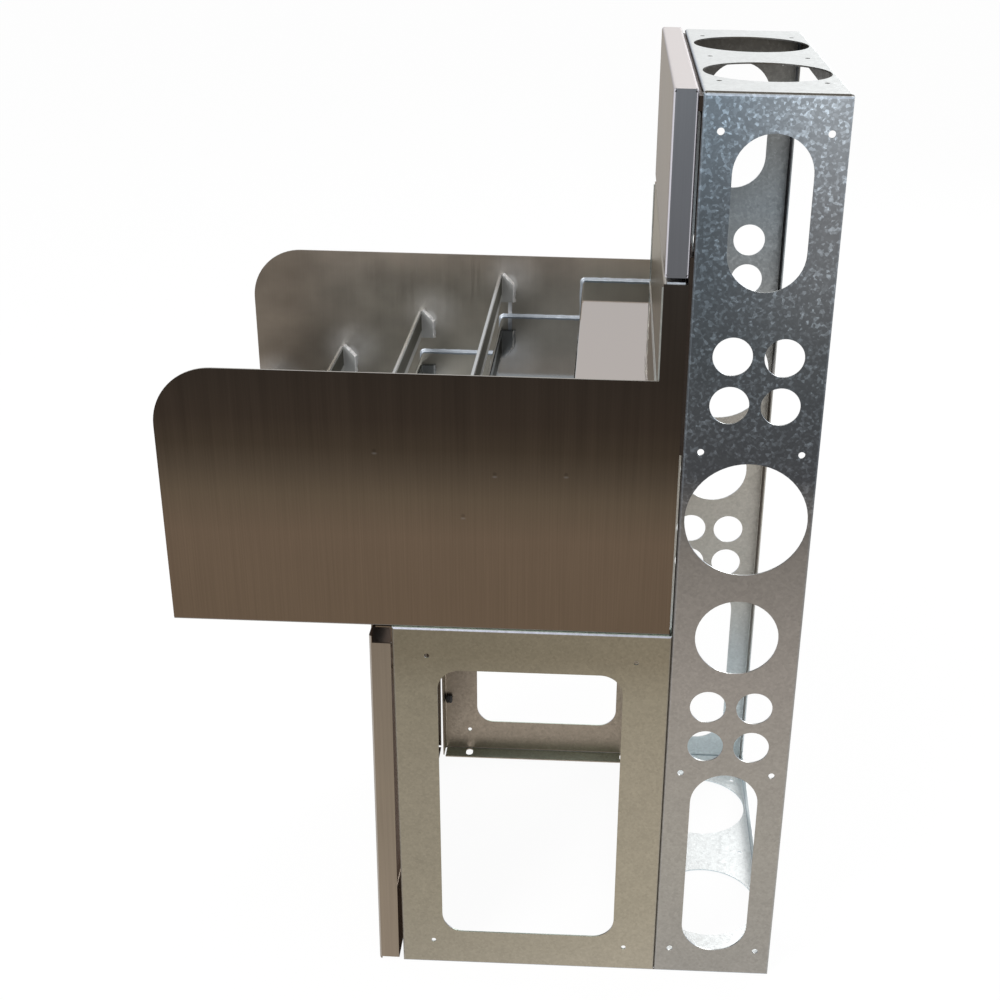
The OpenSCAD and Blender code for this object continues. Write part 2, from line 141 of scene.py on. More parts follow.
class Field:
    """A shader value, colour or vector that takes part in Python expressions."""

    __add__, __radd__ = _operator("ADD"), _operator("ADD", swapped=True)
    __sub__, __rsub__ = _operator("SUBTRACT"), _operator("SUBTRACT", swapped=True)
    __mul__, __rmul__ = _operator("MULTIPLY"), _operator("MULTIPLY", swapped=True)
    larger = _operator("MAXIMUM")

    def __init__(self, shader: "Shader", socket: bpy.types.NodeSocket) -> None:
        """Wraps an output socket of one of the shader's nodes."""
        self.shader = shader
        self.socket = socket

    def __abs__(self) -> "Field":
        """Size without sign."""
        return self.shader.combine("ABSOLUTE", self, 0.0)

    def out(self, name: str) -> "Field":
        """Another output of the same node."""
        return Field(self.shader, self.socket.node.outputs[name])

    def smooth(self, low: float, high: float) -> "Field":
        """A smooth step from 0 at low to 1 at high; low may be the larger one.

        Args:
            low: Value at which it is 0.
            high: Value at which it is 1.

        Returns:
            The step.
        """
        return self.shader.add(
            "MapRange",
            {"interpolation_type": "SMOOTHSTEP"},
            {"Value": self, "From Min": low, "From Max": high},
        )


Operand = Field | float | tuple


class Shader:
    """Draws the node tree of one material or world."""

    def __init__(self, owner: bpy.types.Material | bpy.types.World) -> None:
        """Empties the owner's node tree.

        Args:
            owner: The material or world that the tree belongs to.
        """
        owner.use_nodes = True
        self.tree = owner.node_tree
        self.tree.nodes.clear()
        self._coordinates: dict[str, Field] = {}

    def add(
        self,
        kind: str,
        settings: Mapping[str, Any] | None = None,
        inputs: Mapping[str | int, Any] | None = None,
        output: str | int = 0,
    ) -> Field:
        """Adds any node.

        Args:
            kind: Blender's name of the node type, without ShaderNode in front.
            settings: Properties of the node, set before its sockets. "stops" fills a ramp.
            inputs: Values or fields for its sockets, by name or number.
            output: The output that the result reads.

        Returns:
            The chosen output.
        """
        node = self.tree.nodes.new("ShaderNode" + kind)
        for name, value in (settings or {}).items():
            if name == "stops":
                self._fill_ramp(node.color_ramp, value)
            else:
                setattr(node, name, value)
        for key, value in (inputs or {}).items():
            self._feed(node.inputs[key], value)
        return Field(self, node.outputs[output]) if node.outputs else Field(self, node.inputs[0])

    def _feed(self, socket: bpy.types.NodeSocket, value: Any) -> None:
        """Links a field to a socket, or sets the socket to a plain value.

        Args:
            socket: The input.
            value: The field, or the plain value.
        """
        if isinstance(value, Field):
            self.tree.links.new(value.socket, socket)
        elif socket.type == "RGBA":
            socket.default_value = (*value, 1.0)
        elif socket.type == "VECTOR" and not isinstance(value, tuple):
            socket.default_value = (value, value, value)
        else:
            socket.default_value = value

    @staticmethod
    def _fill_ramp(ramp: bpy.types.ColorRamp, stops: Sequence[tuple[float, Colour]]) -> None:
        """Gives a ramp its stops, each a position from 0 to 1 and a colour.

        Args:
            ramp: The ramp.
            stops: Its stops, in order.
        """
        while len(ramp.elements) < len(stops):
            ramp.elements.new(1.0)
        for element, (position, colour) in zip(ramp.elements, stops):
            element.position = position
            element.color = (*colour, 1.0)

    def combine(self, operation: str, first: Operand, second: Operand) -> Field:
        """Applies an operation: Vector Math where a colour or vector takes part, or else Math.

        Args:
            operation: Blender's name of the operation.
            first: The first operand.
            second: The second operand.

        Returns:
            The result.
        """
        broad = any(
            isinstance(v, tuple) or (isinstance(v, Field) and v.socket.type in ("RGBA", "VECTOR"))
            for v in (first, second)
        )
        kind = "VectorMath" if broad else "Math"
        return self.add(kind, {"operation": operation}, {0: first, 1: second})

    def coordinate(self, name: str) -> Field:
        """A texture coordinate, such as Object or Normal, made once.

        Args:
            name: Blender's name of the coordinate.

        Returns:
            The coordinate.
        """
        if name not in self._coordinates:
            self._coordinates[name] = self.add("TexCoord", output=name)
        return self._coordinates[name]

    def axes(self, name: str) -> tuple[Field, Field, Field]:
        """The X, Y and Z of a texture coordinate.

        Args:
            name: Blender's name of the coordinate.

        Returns:
            Its three parts.
        """
        key = f"{name} axes"
        if key not in self._coordinates:
            self._coordinates[key] = self.add("SeparateXYZ", inputs={0: self.coordinate(name)})
        parts = self._coordinates[key]
        return parts.out("X"), parts.out("Y"), parts.out("Z")

    def noise(self, stretch: Operand, detail: float = 2.0, shift: float = 0.0) -> Field:
        """Noise about zero, roughly from -1 to 1.

        Args:
            stretch: Cycles per metre, one number or one for each axis.
            detail: Octaves of finer noise.
            shift: Moves the pattern, so that two finishes differ.

        Returns:
            The noise value.
        """
        place = (self.coordinate("Object") + (shift, shift, shift)) * stretch
        value = self.add(
            "TexNoise",
            inputs={"Vector": place, "Scale": 1.0, "Detail": detail},
            output="Fac",
        )
        return (value - 0.5) * NOISE_GAIN

    def cells(self, size: float, metric: str, shift: float = 0.0, ragged: float = 0.0) -> Field:
        """A random value from 0 to 1 for each cell of a pattern.

        Args:
            size: Width of a cell.
            metric: Blender's name of the distance that shapes the cells.
            shift: Moves the pattern.
            ragged: How far the edges of the cells wander.

        Returns:
            One value for each cell.
        """
        place = self.coordinate("Object") + (shift, shift, shift)
        if ragged:
            wander = self.add(
                "TexNoise",
                inputs={"Vector": place, "Scale": 0.7 / size, "Detail": 2.0},
                output="Color",
            )
            place = place + (wander - (0.5, 0.5, 0.5)) * ragged
        colour = self.add(
            "TexVoronoi",
            {"distance": metric},
            {"Vector": place, "Scale": 1.0 / size},
            "Color",
        )
        return self.add("SeparateColor", inputs={0: colour})

    def mix(self, factor: Operand, first: Operand, second: Operand) -> Field:
        """Mixes two colours."""
        return self.add("Mix", {"data_type": "RGBA"}, {0: factor, 6: first, 7: second}, 2)

    def spot(self, centre: Pair, radii: Pair) -> Field:
        """A soft elliptic spot on a wall that runs front to back: 1 at its centre, 0 outside.

        Args:
            centre: Y and Z of its middle.
            radii: Its half width along Y and half height along Z.

        Returns:
            The mask.
        """
        offset = self.coordinate("Object") - (0.0, *centre)
        scaled = offset * (0.0, 1.0 / radii[0], 1.0 / radii[1])
        return self.add(
            "VectorMath", {"operation": "LENGTH"}, {0: scaled}, "Value"
        ).smooth(1.0, 0.0)

    def bump(self, height: Field, distance: float, strength: float = 1.0) -> Field:
        """A normal that is disturbed by a height field.

        Args:
            height: The height field.
            distance: Height that a value of 1 stands for.
            strength: Share of the effect.

        Returns:
            The normal.
        """
        return self.add(
            "Bump",
            inputs={"Strength": strength, "Distance": distance, "Height": height},
        )


class Look(Enum):
    """Direction that a face of a sheet looks."""

    UP = "up"
    FRONT = "front"
    BACK = "back"
    INWARD = "inward"

    def mask(self, shader: Shader) -> Field:
        """1 on the faces that look this way, and 0 on the others.

        Args:
            shader: The shader being drawn.

        Returns:
            The mask.
        """
        nx, ny, nz = shader.axes("Normal")
        if self is Look.INWARD:
            return (nx * shader.axes("Object")[0]).smooth(*INWARD_STEP)
        way = {Look.UP: nz, Look.FRONT: 0.0 - ny, Look.BACK: ny}[self]
        return way.smooth(*FACING_STEP)


@dataclass(frozen=True)
class Tone:
    """The colour that a finish has at one height above the floor."""

    height: float
    colour: Colour


Tones = tuple[Tone, ...]


def ladder(*rows: tuple[float, float, float, float]) -> Tones:
    """Tones at rising heights, each row a height and its linear red, green and blue."""
    return tuple(Tone(row[0], row[1:]) for row in rows)


@dataclass(frozen=True)
class Side:
    """How the faces that look one way differ from the outer faces of a sheet, mostly by painted
    shade or reflection.

    Attributes:
        look: The way they look.
        tones: Their colour, from the floor up.
        share: How much of that colour they take.
        matt: How far they lose their shine, from 0 to 1.
        up_to_y: Only what lies in front of this Y counts.
        up_to_x: Only what lies to the left of this X counts.
        soft: How soft these two limits are.
    """

    look: Look
    tones: Tones
    share: float = 1.0
    matt: float = 0.0
    up_to_y: float | None = None
    up_to_x: float | None = None
    soft: float = 1 * MM

    def mask(self, shader: Shader) -> Field:
        """1 on these faces, and 0 elsewhere.

        Args:
            shader: The shader being drawn.

        Returns:
            The mask.
        """
        mask = self.look.mask(shader)
        x, y, _ = shader.axes("Object")
        if self.up_to_y is not None:
            mask = mask * y.smooth(self.up_to_y + self.soft, self.up_to_y)
        if self.up_to_x is not None:
            mask = mask * x.smooth(self.up_to_x + self.soft, self.up_to_x - self.soft)
        return mask


@dataclass(frozen=True)
class SheetLight:
    """Painted light: how bends and faces that look up, forward or inward stand out from a sheet's
    outer faces.

    Attributes:
        bend: Colour of the bends: a painted highlight, or painted shade on sheets in the shade.
        bend_share: How much of that colour the middle of a level bend takes.
        top: Colour of faces that look up: a painted sky reflection, or painted shade on sheets in
            the shade.
        top_share: How much of that colour they take.
        upright_share: How much of the bends' colour an upright bend takes.
        sides: Other faces that differ, mostly by painted shade or painted reflection.
    """

    bend: Colour
    bend_share: float
    top: Colour = WHITE
    top_share: float = 0.0
    upright_share: float = 0.0
    sides: tuple[Side, ...] = ()

    def apply(self, shader: Shader, colour: Field) -> Field:
        """Lays all of them over a colour.

        Args:
            shader: The shader being drawn.
            colour: The colour of the outer faces.

        Returns:
            The colour of the whole sheet.
        """
        nx, ny, nz = shader.axes("Normal")
        squareness = abs(nx).larger(abs(ny)).larger(abs(nz))
        level = abs(nz).smooth(*LEVEL_STEP)
        share = self.upright_share + level * (self.bend_share - self.upright_share)
        colour = shader.mix(squareness.smooth(*BEND_STEP) * share, colour, self.bend)
        colour = shader.mix(Look.UP.mask(shader) * self.top_share, colour, self.top)
        for side in self.sides:
            colour = shader.mix(side.mask(shader) * side.share, colour, toned(shader, side.tones))
        return colour

    def dulled(self, shader: Shader) -> Field | float:
        """How far each face loses its shine, from 0 to 1.

        Args:
            shader: The shader being drawn.

        Returns:
            The loss, a plain 0 where no side is matt.
        """
        total: Field | float = 0.0
        for side in self.sides:
            if side.matt:
                total = side.mask(shader) * side.matt + total
        return total


def toned(shader: Shader, tones: Sequence[Tone]) -> Field | Colour:
    """A colour that changes with height.

    Args:
        shader: The shader being drawn.
        tones: Colours at rising heights, or a single one.

    Returns:
        The colour.
    """
    if len(tones) == 1:
        return tones[0].colour
    low, high = tones[0].height, tones[-1].height
    share = (shader.axes("Object")[2] - low) * (1.0 / (high - low))
    stops = [((tone.height - low) / (high - low), tone.colour) for tone in tones]
    return shader.add("ValToRGB", {"stops": stops}, {0: share}, "Color")


class Finish:
    """A finish that is drawn as one Principled BSDF."""

    name: str

    def paint(self) -> bpy.types.Material:
        """Makes the material.

        Returns:
            The material.
        """
        material = bpy.data.materials.new(self.name)
        shader = Shader(material)
        surface = shader.add("BsdfPrincipled", inputs=self.sockets(shader))
        shader.add("OutputMaterial", inputs={"Surface": surface})
        return material

    def sockets(self, shader: Shader) -> dict[str, Any]:
        """Draws what feeds the BSDF, by the names of its sockets.

        Args:
            shader: The shader being drawn.

        Returns:
            Values and fields, by the names of the sockets.
        """
        raise NotImplementedError


@dataclass(frozen=True)
class Galvanised(Finish):
    """Hot-dip galvanised sheet: angular zinc crystals over a tone that changes with height, which
    paints in the sheet's reflection and shade.

    Attributes:
        name: Name of the material.
        tones: Colour of the upright faces from the floor up, with their reflection and shade
            painted in.
        light: Bends and level faces.
        crystal: Width of a zinc crystal.
        gain: How much brighter the brightest crystal is, in red, green and blue.
        fleck_low: Height above which the bright crystals begin.
        fleck_high: Height at which they are at their full strength.
        fleck_share: Strength of the bright crystals there.
        mottle: How far the other crystals go above and below the tone.
        front_y: Y of the sheet's front edge.
        back_y: Y of its back edge.
        front_painted_light: What the tone is multiplied by at the front edge, a painted light.
        back_painted_light: What it is multiplied by at the back edge, a painted light.
        painted_light_low: Height above which this painted light begins.
        painted_light_reach: Height over which it sets in.
        large_from: Value from which a large crystal is bright.
        small_from: Value from which a small one is bright.
        patchy: How far the bright crystals come and go over the sheet.
        relief: Depth of the crystals.
        roughness: Mean roughness.
    """

    name: str
    tones: Tones
    light: SheetLight
    crystal: float = 3.4 * MM
    gain: Colour = (1.4, 1.55, 1.65)
    fleck_low: float = 0.56
    fleck_high: float = 0.68
    fleck_share: float = 0.0
    mottle: float = 0.08
    front_y: float = 0.2
    back_y: float = 0.33
    front_painted_light: Colour = WHITE
    back_painted_light: Colour = WHITE
    painted_light_low: float = 0.70
    painted_light_reach: float = 0.2
    large_from: float = 0.55
    small_from: float = 0.75
    patchy: float = 0.6
    relief: float = 0.05 * MM
    roughness: float = 0.42

    def sockets(self, shader: Shader) -> dict[str, Any]:
        """Draws what feeds the BSDF, by the names of its sockets.

        Args:
            shader: The shader being drawn.

        Returns:
            Values and fields, by the names of the sockets.
        """
        _, y, z = shader.axes("Object")
        angular = shader.cells(self.crystal, "EUCLIDEAN", 0.0, self.crystal * 0.15)
        small = shader.cells(self.crystal * 0.7, "CHEBYCHEV", 0.37)
        grain, speck = angular.out("Red"), small.out("Green")
        cloud = shader.noise(38.0, 3.0)
        bright = grain.smooth(self.large_from, 1.0) * (0.4 + speck * 0.6)
        bright = bright + speck.smooth(self.small_from, 1.0) * 0.3
        bright = bright * (1.0 + cloud * self.patchy)
        height = z.smooth(self.fleck_low, self.fleck_high) * self.fleck_share
        flecks = bright * height * self.gain + 1.0
        # Painted light and shade that change from the sheet's front edge to its back edge.
        tint = shader.mix(y.smooth(self.front_y, self.back_y), self.front_painted_light, self.back_painted_light)
        above = z.smooth(self.painted_light_low, self.painted_light_low + self.painted_light_reach)
        lit_across = shader.mix(above, WHITE, tint)
        shade = 1.0 + (grain - 0.5) * self.mottle + (speck - 0.5) * self.mottle + cloud * 0.04
        fine = shader.noise(900.0, 2.0)
        # The tones carry painted reflection and shade, and the light paints highlights and shade
        # over them.
        outer = toned(shader, self.tones) * lit_across * flecks
        colour = self.light.apply(shader, outer) * (shade + bright * height * 0.25)
        dull = self.light.dulled(shader)
        rough = self.roughness + (angular.out("Blue") - 0.5) * 0.14 + fine * 0.02
        return {
            "Base Color": colour,
            "Metallic": 1.0 - dull * MATT_LOSS,
            "Roughness": rough + dull * MATT_ROUGHNESS,
            "Normal": shader.bump(grain * 0.6 + fine * 0.2, self.relief, 0.5),
        }


@dataclass(frozen=True)
class Brushed(Finish):
    """Brushed stainless sheet.

    Attributes:
        name: Name of the material.
        tones: Colour of the faces that look outward, from the floor up.
        light: Bends and level faces.
        grain: Direction of the brushing.
        streak: How far the brushing goes above and below the tone.
        blotch: How far broad clouds go above and below the tone.
        roughness: Mean roughness.
        edge_tint: Tint of the reflection at grazing angles.
        relief: Depth of the waves in the sheet.
    """

    name: str
    tones: Tones
    light: SheetLight
    grain: Grain = Grain.ALONG_Z
    streak: float = 0.10
    blotch: float = 0.05
    roughness: float = 0.34
    edge_tint: Colour = (0.7, 0.7, 0.7)
    relief: float = 0.25 * MM

    def colour(self, shader: Shader) -> Field:
        """Colour of the brushed faces.

        Args:
            shader: The shader being drawn.

        Returns:
            The colour.
        """
        streaks = shader.noise(self.grain.value, 4.0)
        clouds = shader.noise(9.0, 2.0, 0.61)
        return toned(shader, self.tones) * (1.0 + streaks * self.streak + clouds * self.blotch)

    def scoured(self, shader: Shader) -> Field | float:
        """How far each spot was scoured across the grain, from 0 to 1."""
        return 0.0

    def sockets(self, shader: Shader) -> dict[str, Any]:
        """Draws what feeds the BSDF, by the names of its sockets.

        Args:
            shader: The shader being drawn.

        Returns:
            Values and fields, by the names of the sockets.
        """
        lines = shader.noise(self.grain.value, 4.0, 0.23)
        waves = shader.noise(5.0, 1.0)
        dull = self.light.dulled(shader)
        rough = dull * MATT_ROUGHNESS + self.scoured(shader) * 0.4
        return {
            "Base Color": self.light.apply(shader, self.colour(shader)),
            "Metallic": 1.0 - dull * MATT_LOSS,
            "Roughness": self.roughness + lines * (self.roughness * 0.15) + rough,
            "Specular Tint": self.edge_tint,
            "Normal": shader.bump(lines * 0.04 + waves, self.relief, 0.6),
        }


@dataclass(frozen=True)
class EndPanelSteel(Brushed):
    """Brushed end panel: its outer face, and an inner face with marks of the welded rails, both
    with painted reflection and shade.

    Attributes:
        inner: Colour of the inner face, towards the backsplash, with its reflection painted in.
        inner_low: Its colour below the ledge, darker with painted shade.
        inner_front: Its colour towards the front of the tray, darker with painted shade.
        front_reach: Y up to which it has that colour.
        wall_x: Distance of the sheet's middle from the middle of the tray.
        polish: Colour of the patches that were polished after welding.
        patches: Y and Z of the middle of each polished patch.
        streak_place: Y and Z of the middle of the polished streak under the rear rail.
        streak_size: Half width and half height of that streak.
        stitches: Y and Z of the marks that stitch welds left on the outer face.
        stitch_r: Radius of such a mark.
        worn_z: Heights between which wear on the outer face sets in.
        low_z: Heights between which the inner face's colour changes.
        front_depth: Distance over which it changes from the front to the back.
        smudge, haze: Strength of the broad and of the finer clouds on the inner face.
        halo, veil: Strength of the patches close to the tabs and of those around them.
    """

    inner: Colour = (0.50, 0.44, 0.375)
    inner_low: Colour = (0.39, 0.36, 0.31)
    inner_front: Colour = (0.165, 0.138, 0.11)
    front_reach: float = -0.30
    wall_x: float = 0.226
    polish: Colour = (0.72, 0.73, 0.75)
    patches: tuple[Pair, ...] = ()
    streak_place: Pair = (0.0, 0.0)
    streak_size: Pair = (1.0, 1.0)
    stitches: tuple[Pair, ...] = ()
    stitch_r: float = 4 * MM
    worn_z: Pair = (0.62, 0.70)
    low_z: Pair = (0.70, 0.75)
    front_depth: float = 0.16
    smudge: float = 0.25
    haze: float = 0.19
    halo: float = 0.52
    veil: float = 0.25

    def colour(self, shader: Shader) -> Field:
        """Colour of both faces, with their marks.

        Args:
            shader: The shader being drawn.

        Returns:
            The colour.
        """
        _, y, z = shader.axes("Object")
        worn = shader.noise((3.0, 90.0, 3.0), 2.0, 0.7)
        outer = super().colour(shader) * (1.0 + worn * z.smooth(*self.worn_z) * 0.16)
        smudge = shader.noise((14.0, 9.0, 14.0), 3.0, 0.17)
        haze = shader.noise((40.0, 16.0, 22.0), 3.0, 0.9)
        streaks = shader.noise(self.grain.value, 3.0, 0.4)
        # Painted reflection and shade on the inner face: darker below the ledge and towards the
        # front of the tray.
        shaded = shader.mix(z.smooth(*self.low_z), self.inner_low, self.inner)
        reach = y.smooth(self.front_reach, self.front_reach + self.front_depth)
        inner = shader.mix(reach, self.inner_front, shaded)
        inner = inner * (1.0 + smudge * self.smudge + haze * self.haze + streaks * 0.04)
        inner = shader.mix(self.scoured(shader), inner, self.polish)
        for centre in self.stitches:
            mark = shader.spot(centre, (self.stitch_r, self.stitch_r)).smooth(0.1, 0.9)
            outer = outer * (1.0 - mark * 0.22)
            below = (centre[0], centre[1] - self.stitch_r * 0.75)
            glint = shader.spot(below, (self.stitch_r, self.stitch_r / 2))
            outer = shader.mix(glint * 0.06, outer, self.polish)
        return shader.mix(self._inside(shader), outer, inner)

    def scoured(self, shader: Shader) -> Field:
        """1 on the inner face around the rails' tabs and under the rear one, and 0 far off.

        Args:
            shader: The shader being drawn.

        Returns:
            The mask.
        """
        ragged = shader.noise(110.0, 3.0) * 0.3 + 1.1
        mask = shader.spot(self.streak_place, self.streak_size).smooth(0.0, 0.3)
        for y, z in self.patches:
            near = shader.spot((y, z), (18 * MM, 24 * MM)) * ragged
            wide = shader.spot((y + 4 * MM, z + 10 * MM), (50 * MM, 46 * MM)) * ragged
            mask = mask.larger(near.smooth(0.0, 0.9) * self.halo).larger(wide * self.veil)
        return mask * self._inside(shader)

    def _inside(self, shader: Shader) -> Field:
        """1 on the inner face, and 0 on the outer one."""
        across = abs(shader.axes("Object")[0])
        return across.smooth(self.wall_x + 0.3 * MM, self.wall_x - 0.3 * MM)


@dataclass(frozen=True)
class RailSteel(Brushed):
    """Rail strip with painted highlights along its top and bottom edges, and painted shade on its
    back face.

    Attributes:
        feet: Height of the lower edge of each rail.
        rail_h: Height of the strip.
        upper_band: Height of the bright band at the top.
        lower_band: Height of the bright band at the bottom.
        edge: Colour of these bands, a painted highlight.
        rear: Colour of the face that looks to the back, a painted shade.
    """

    feet: tuple[float, ...] = ()
    rail_h: float = 36 * MM
    upper_band: float = 5 * MM
    lower_band: float = 11 * MM
    edge: Colour = (0.64, 0.65, 0.64)
    rear: Colour = (0.12, 0.118, 0.10)

    def colour(self, shader: Shader) -> Field:
        """Colour of the strip and of its edges.

        Args:
            shader: The shader being drawn.

        Returns:
            The colour.
        """
        _, _, z = shader.axes("Object")
        # Painted shade on the face that looks to the back.
        colour = shader.mix(Look.BACK.mask(shader), super().colour(shader), self.rear)
        # Painted highlight bands along the top and bottom edges of each rail.
        for foot in self.feet:
            for height, reach in ((foot, self.lower_band), (foot + self.rail_h, self.upper_band)):
                band = abs(z - height).smooth(reach, reach * 0.7)
                colour = shader.mix(band * 0.9, colour, self.edge)
        return colour


@dataclass(frozen=True)
class Plain(Finish):
    """A small metal or plastic part of one colour, with fine grain and wear.

    Attributes:
        name: Name of the material.
        base: Main colour.
        worn: Colour of the worn spots.
        metallic: 1 for metal, 0 for plastic.
        roughness: Mean roughness.
        cycles: Fineness of the grain, in cycles per metre.
    """

    name: str
    base: Colour
    worn: Colour
    metallic: float = 1.0
    roughness: float = 0.3
    cycles: float = 420.0

    def sockets(self, shader: Shader) -> dict[str, Any]:
        """Draws what feeds the BSDF, by the names of its sockets.

        Args:
            shader: The shader being drawn.

        Returns:
            Values and fields, by the names of the sockets.
        """
        grain = shader.noise(self.cycles, 3.0)
        wear = shader.noise(self.cycles * 0.3, 2.0, 0.5).smooth(-0.2, 0.9)
        return {
            "Base Color": shader.mix(wear, self.base, self.worn) * (1.0 + grain * 0.08),
            "Metallic": self.metallic,
            "Roughness": self.roughness + grain * 0.06,
            "Normal": shader.bump(grain, 0.03 * MM, 0.6),
        }


class Draft:
    """Vertices and faces of a mesh that is being drawn."""

    def __init__(self) -> None:
        """Starts empty."""
        self.mesh = bmesh.new()

    def loft(self, rings: Sequence[Ring], loop: bool = False) -> None:
        """Joins rings of equal length into a closed solid.

        Args:
            rings: The rings in order.
            loop: Joins the last ring to the first, and otherwise both ends are capped.
        """
        rows = [[self.mesh.verts.new(point) for point in ring] for ring in rings]
        pairs = list(zip(rows, rows[1:]))
        if loop:
            pairs.append((rows[-1], rows[0]))
        for first, second in pairs:
            for i in range(len(first)):
                j = (i + 1) % len(first)
                self.mesh.faces.new((first[i], first[j], second[j], second[i]))
        if not loop:
            self.mesh.faces.new(rows[0])
            self.mesh.faces.new(rows[-1])

    def finish(
        self, name: str, material: bpy.types.Material, slot: Slot, smooth_below: float = 35.0
    ) -> bpy.types.Object:
        """Makes the object, which rides on the one body.

        Args:
            name: Name of the piece.
            material: Its finish.
            slot: The record's slot that its finish goes by; not used.
            smooth_below: Edges flatter than this angle, in degrees, are shaded smooth.

        Returns:
            The new object.
        """
        bmesh.ops.recalc_face_normals(self.mesh, faces=self.mesh.faces)
        limit = math.radians(smooth_below)
        for face in self.mesh.faces:
            face.smooth = True
        for edge in self.mesh.edges:
            edge.smooth = len(edge.link_faces) == 2 and edge.calc_face_angle() < limit
        data = bpy.data.meshes.new(name)
        self.mesh.to_mesh(data)
        self.mesh.free()
        data.materials.append(material)
        piece = place_object(name, data)
        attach(piece, ROOT)
        LOG.info("built %s with %d faces", name, len(data.polygons))
        return piece


def dress(finish: Finish, *nodes: str) -> None:
    """Gives CAD nodes a finish.

    Args:
        finish: The finish.
        *nodes: Names of the nodes.
    """
    material = finish.paint()
    for name in nodes:
        data = frame["nodes"][name].data
        data.materials.clear()
        data.materials.append(material)
        LOG.info("dressed %s with %s", name, material.name)


def place_object(name: str, data: bpy.types.ID) -> bpy.types.Object:
    """Makes an object of this data and links it to the scene.

    Args:
        name: Its name.
        data: The mesh, lamp or camera that it shows.

    Returns:
        The object.
    """
    thing = bpy.data.objects.new(name, data)
    bpy.context.scene.collection.objects.link(thing)
    return thing


def mount_place(name: str) -> Vector:
    """The position of one of the record's mounts."""
    found = next(m for m in frame["record"]["mounts"] if m["name"] == name)
    return Vector(found["pos_m"])


@dataclass
class Bead:
    """A weld bead that fills the corner between two sheets.

    Attributes:
        leg: How far the bead reaches up each sheet.
        step: Distance between its sections.
        ripple: How far its reach goes above and below the mean.
        seed: Seed of the ripple.
        arc_points: Points across its face.
        sunk: How far its inner edge lies inside the sheets.
        middle: Reach of the middle of its face, as a share of the leg.
    """

    leg: float = 3.4 * MM
    step: float = 5 * MM
    ripple: float = 0.10
    seed: int = 7
    arc_points: int = 5
    sunk: float = 0.1 * MM
    middle: float = 0.80

    def lay(
        self, draft: Draft, path: Sequence[Vector], first: Sequence[Vector], second: Vector
    ) -> None:
        """Draws one bead.

        Args:
            draft: The mesh that it goes into.
            path: Points along the corner.
            first: At each point, the direction out of the first sheet's corner.
            second: The direction along the other sheet.
        """
        chance = random.Random(self.seed)
        rings = []
        for start, end, lean_a, lean_b in zip(path, path[1:], first, first[1:]):
            parts = max(1, round((end - start).length / self.step))
            for i in range(parts):
                share = i / parts
                lean = lean_a.lerp(lean_b, share).normalized()
                rings.append(self._section(start.lerp(end, share), lean, second, chance))
        rings.append(self._section(path[-1], first[-1], second, chance))
        draft.loft(rings)

    def _section(
        self, corner: Vector, first: Vector, second: Vector, chance: random.Random
    ) -> Ring:
        """One section: the corner, sunk a little, and a bulging face across it.

        Args:
            corner: Place of the corner.
            first: Direction along the first sheet.
            second: Direction along the other one.
            chance: Source of the ripple.

        Returns:
            Its points.
        """
        leg = self.leg * (1.0 + chance.uniform(-self.ripple, self.ripple))
        inner = corner - (first + second) * self.sunk
        face = []
        for i in range(self.arc_points):
            angle = math.pi / 2 * i / (self.arc_points - 1)
            bulge = self.middle + (1.0 - self.middle) * abs(math.cos(2 * angle))
            face.append(corner + (first * math.sin(angle) + second * math.cos(angle)) * leg * bulge)
        return [inner, *face]


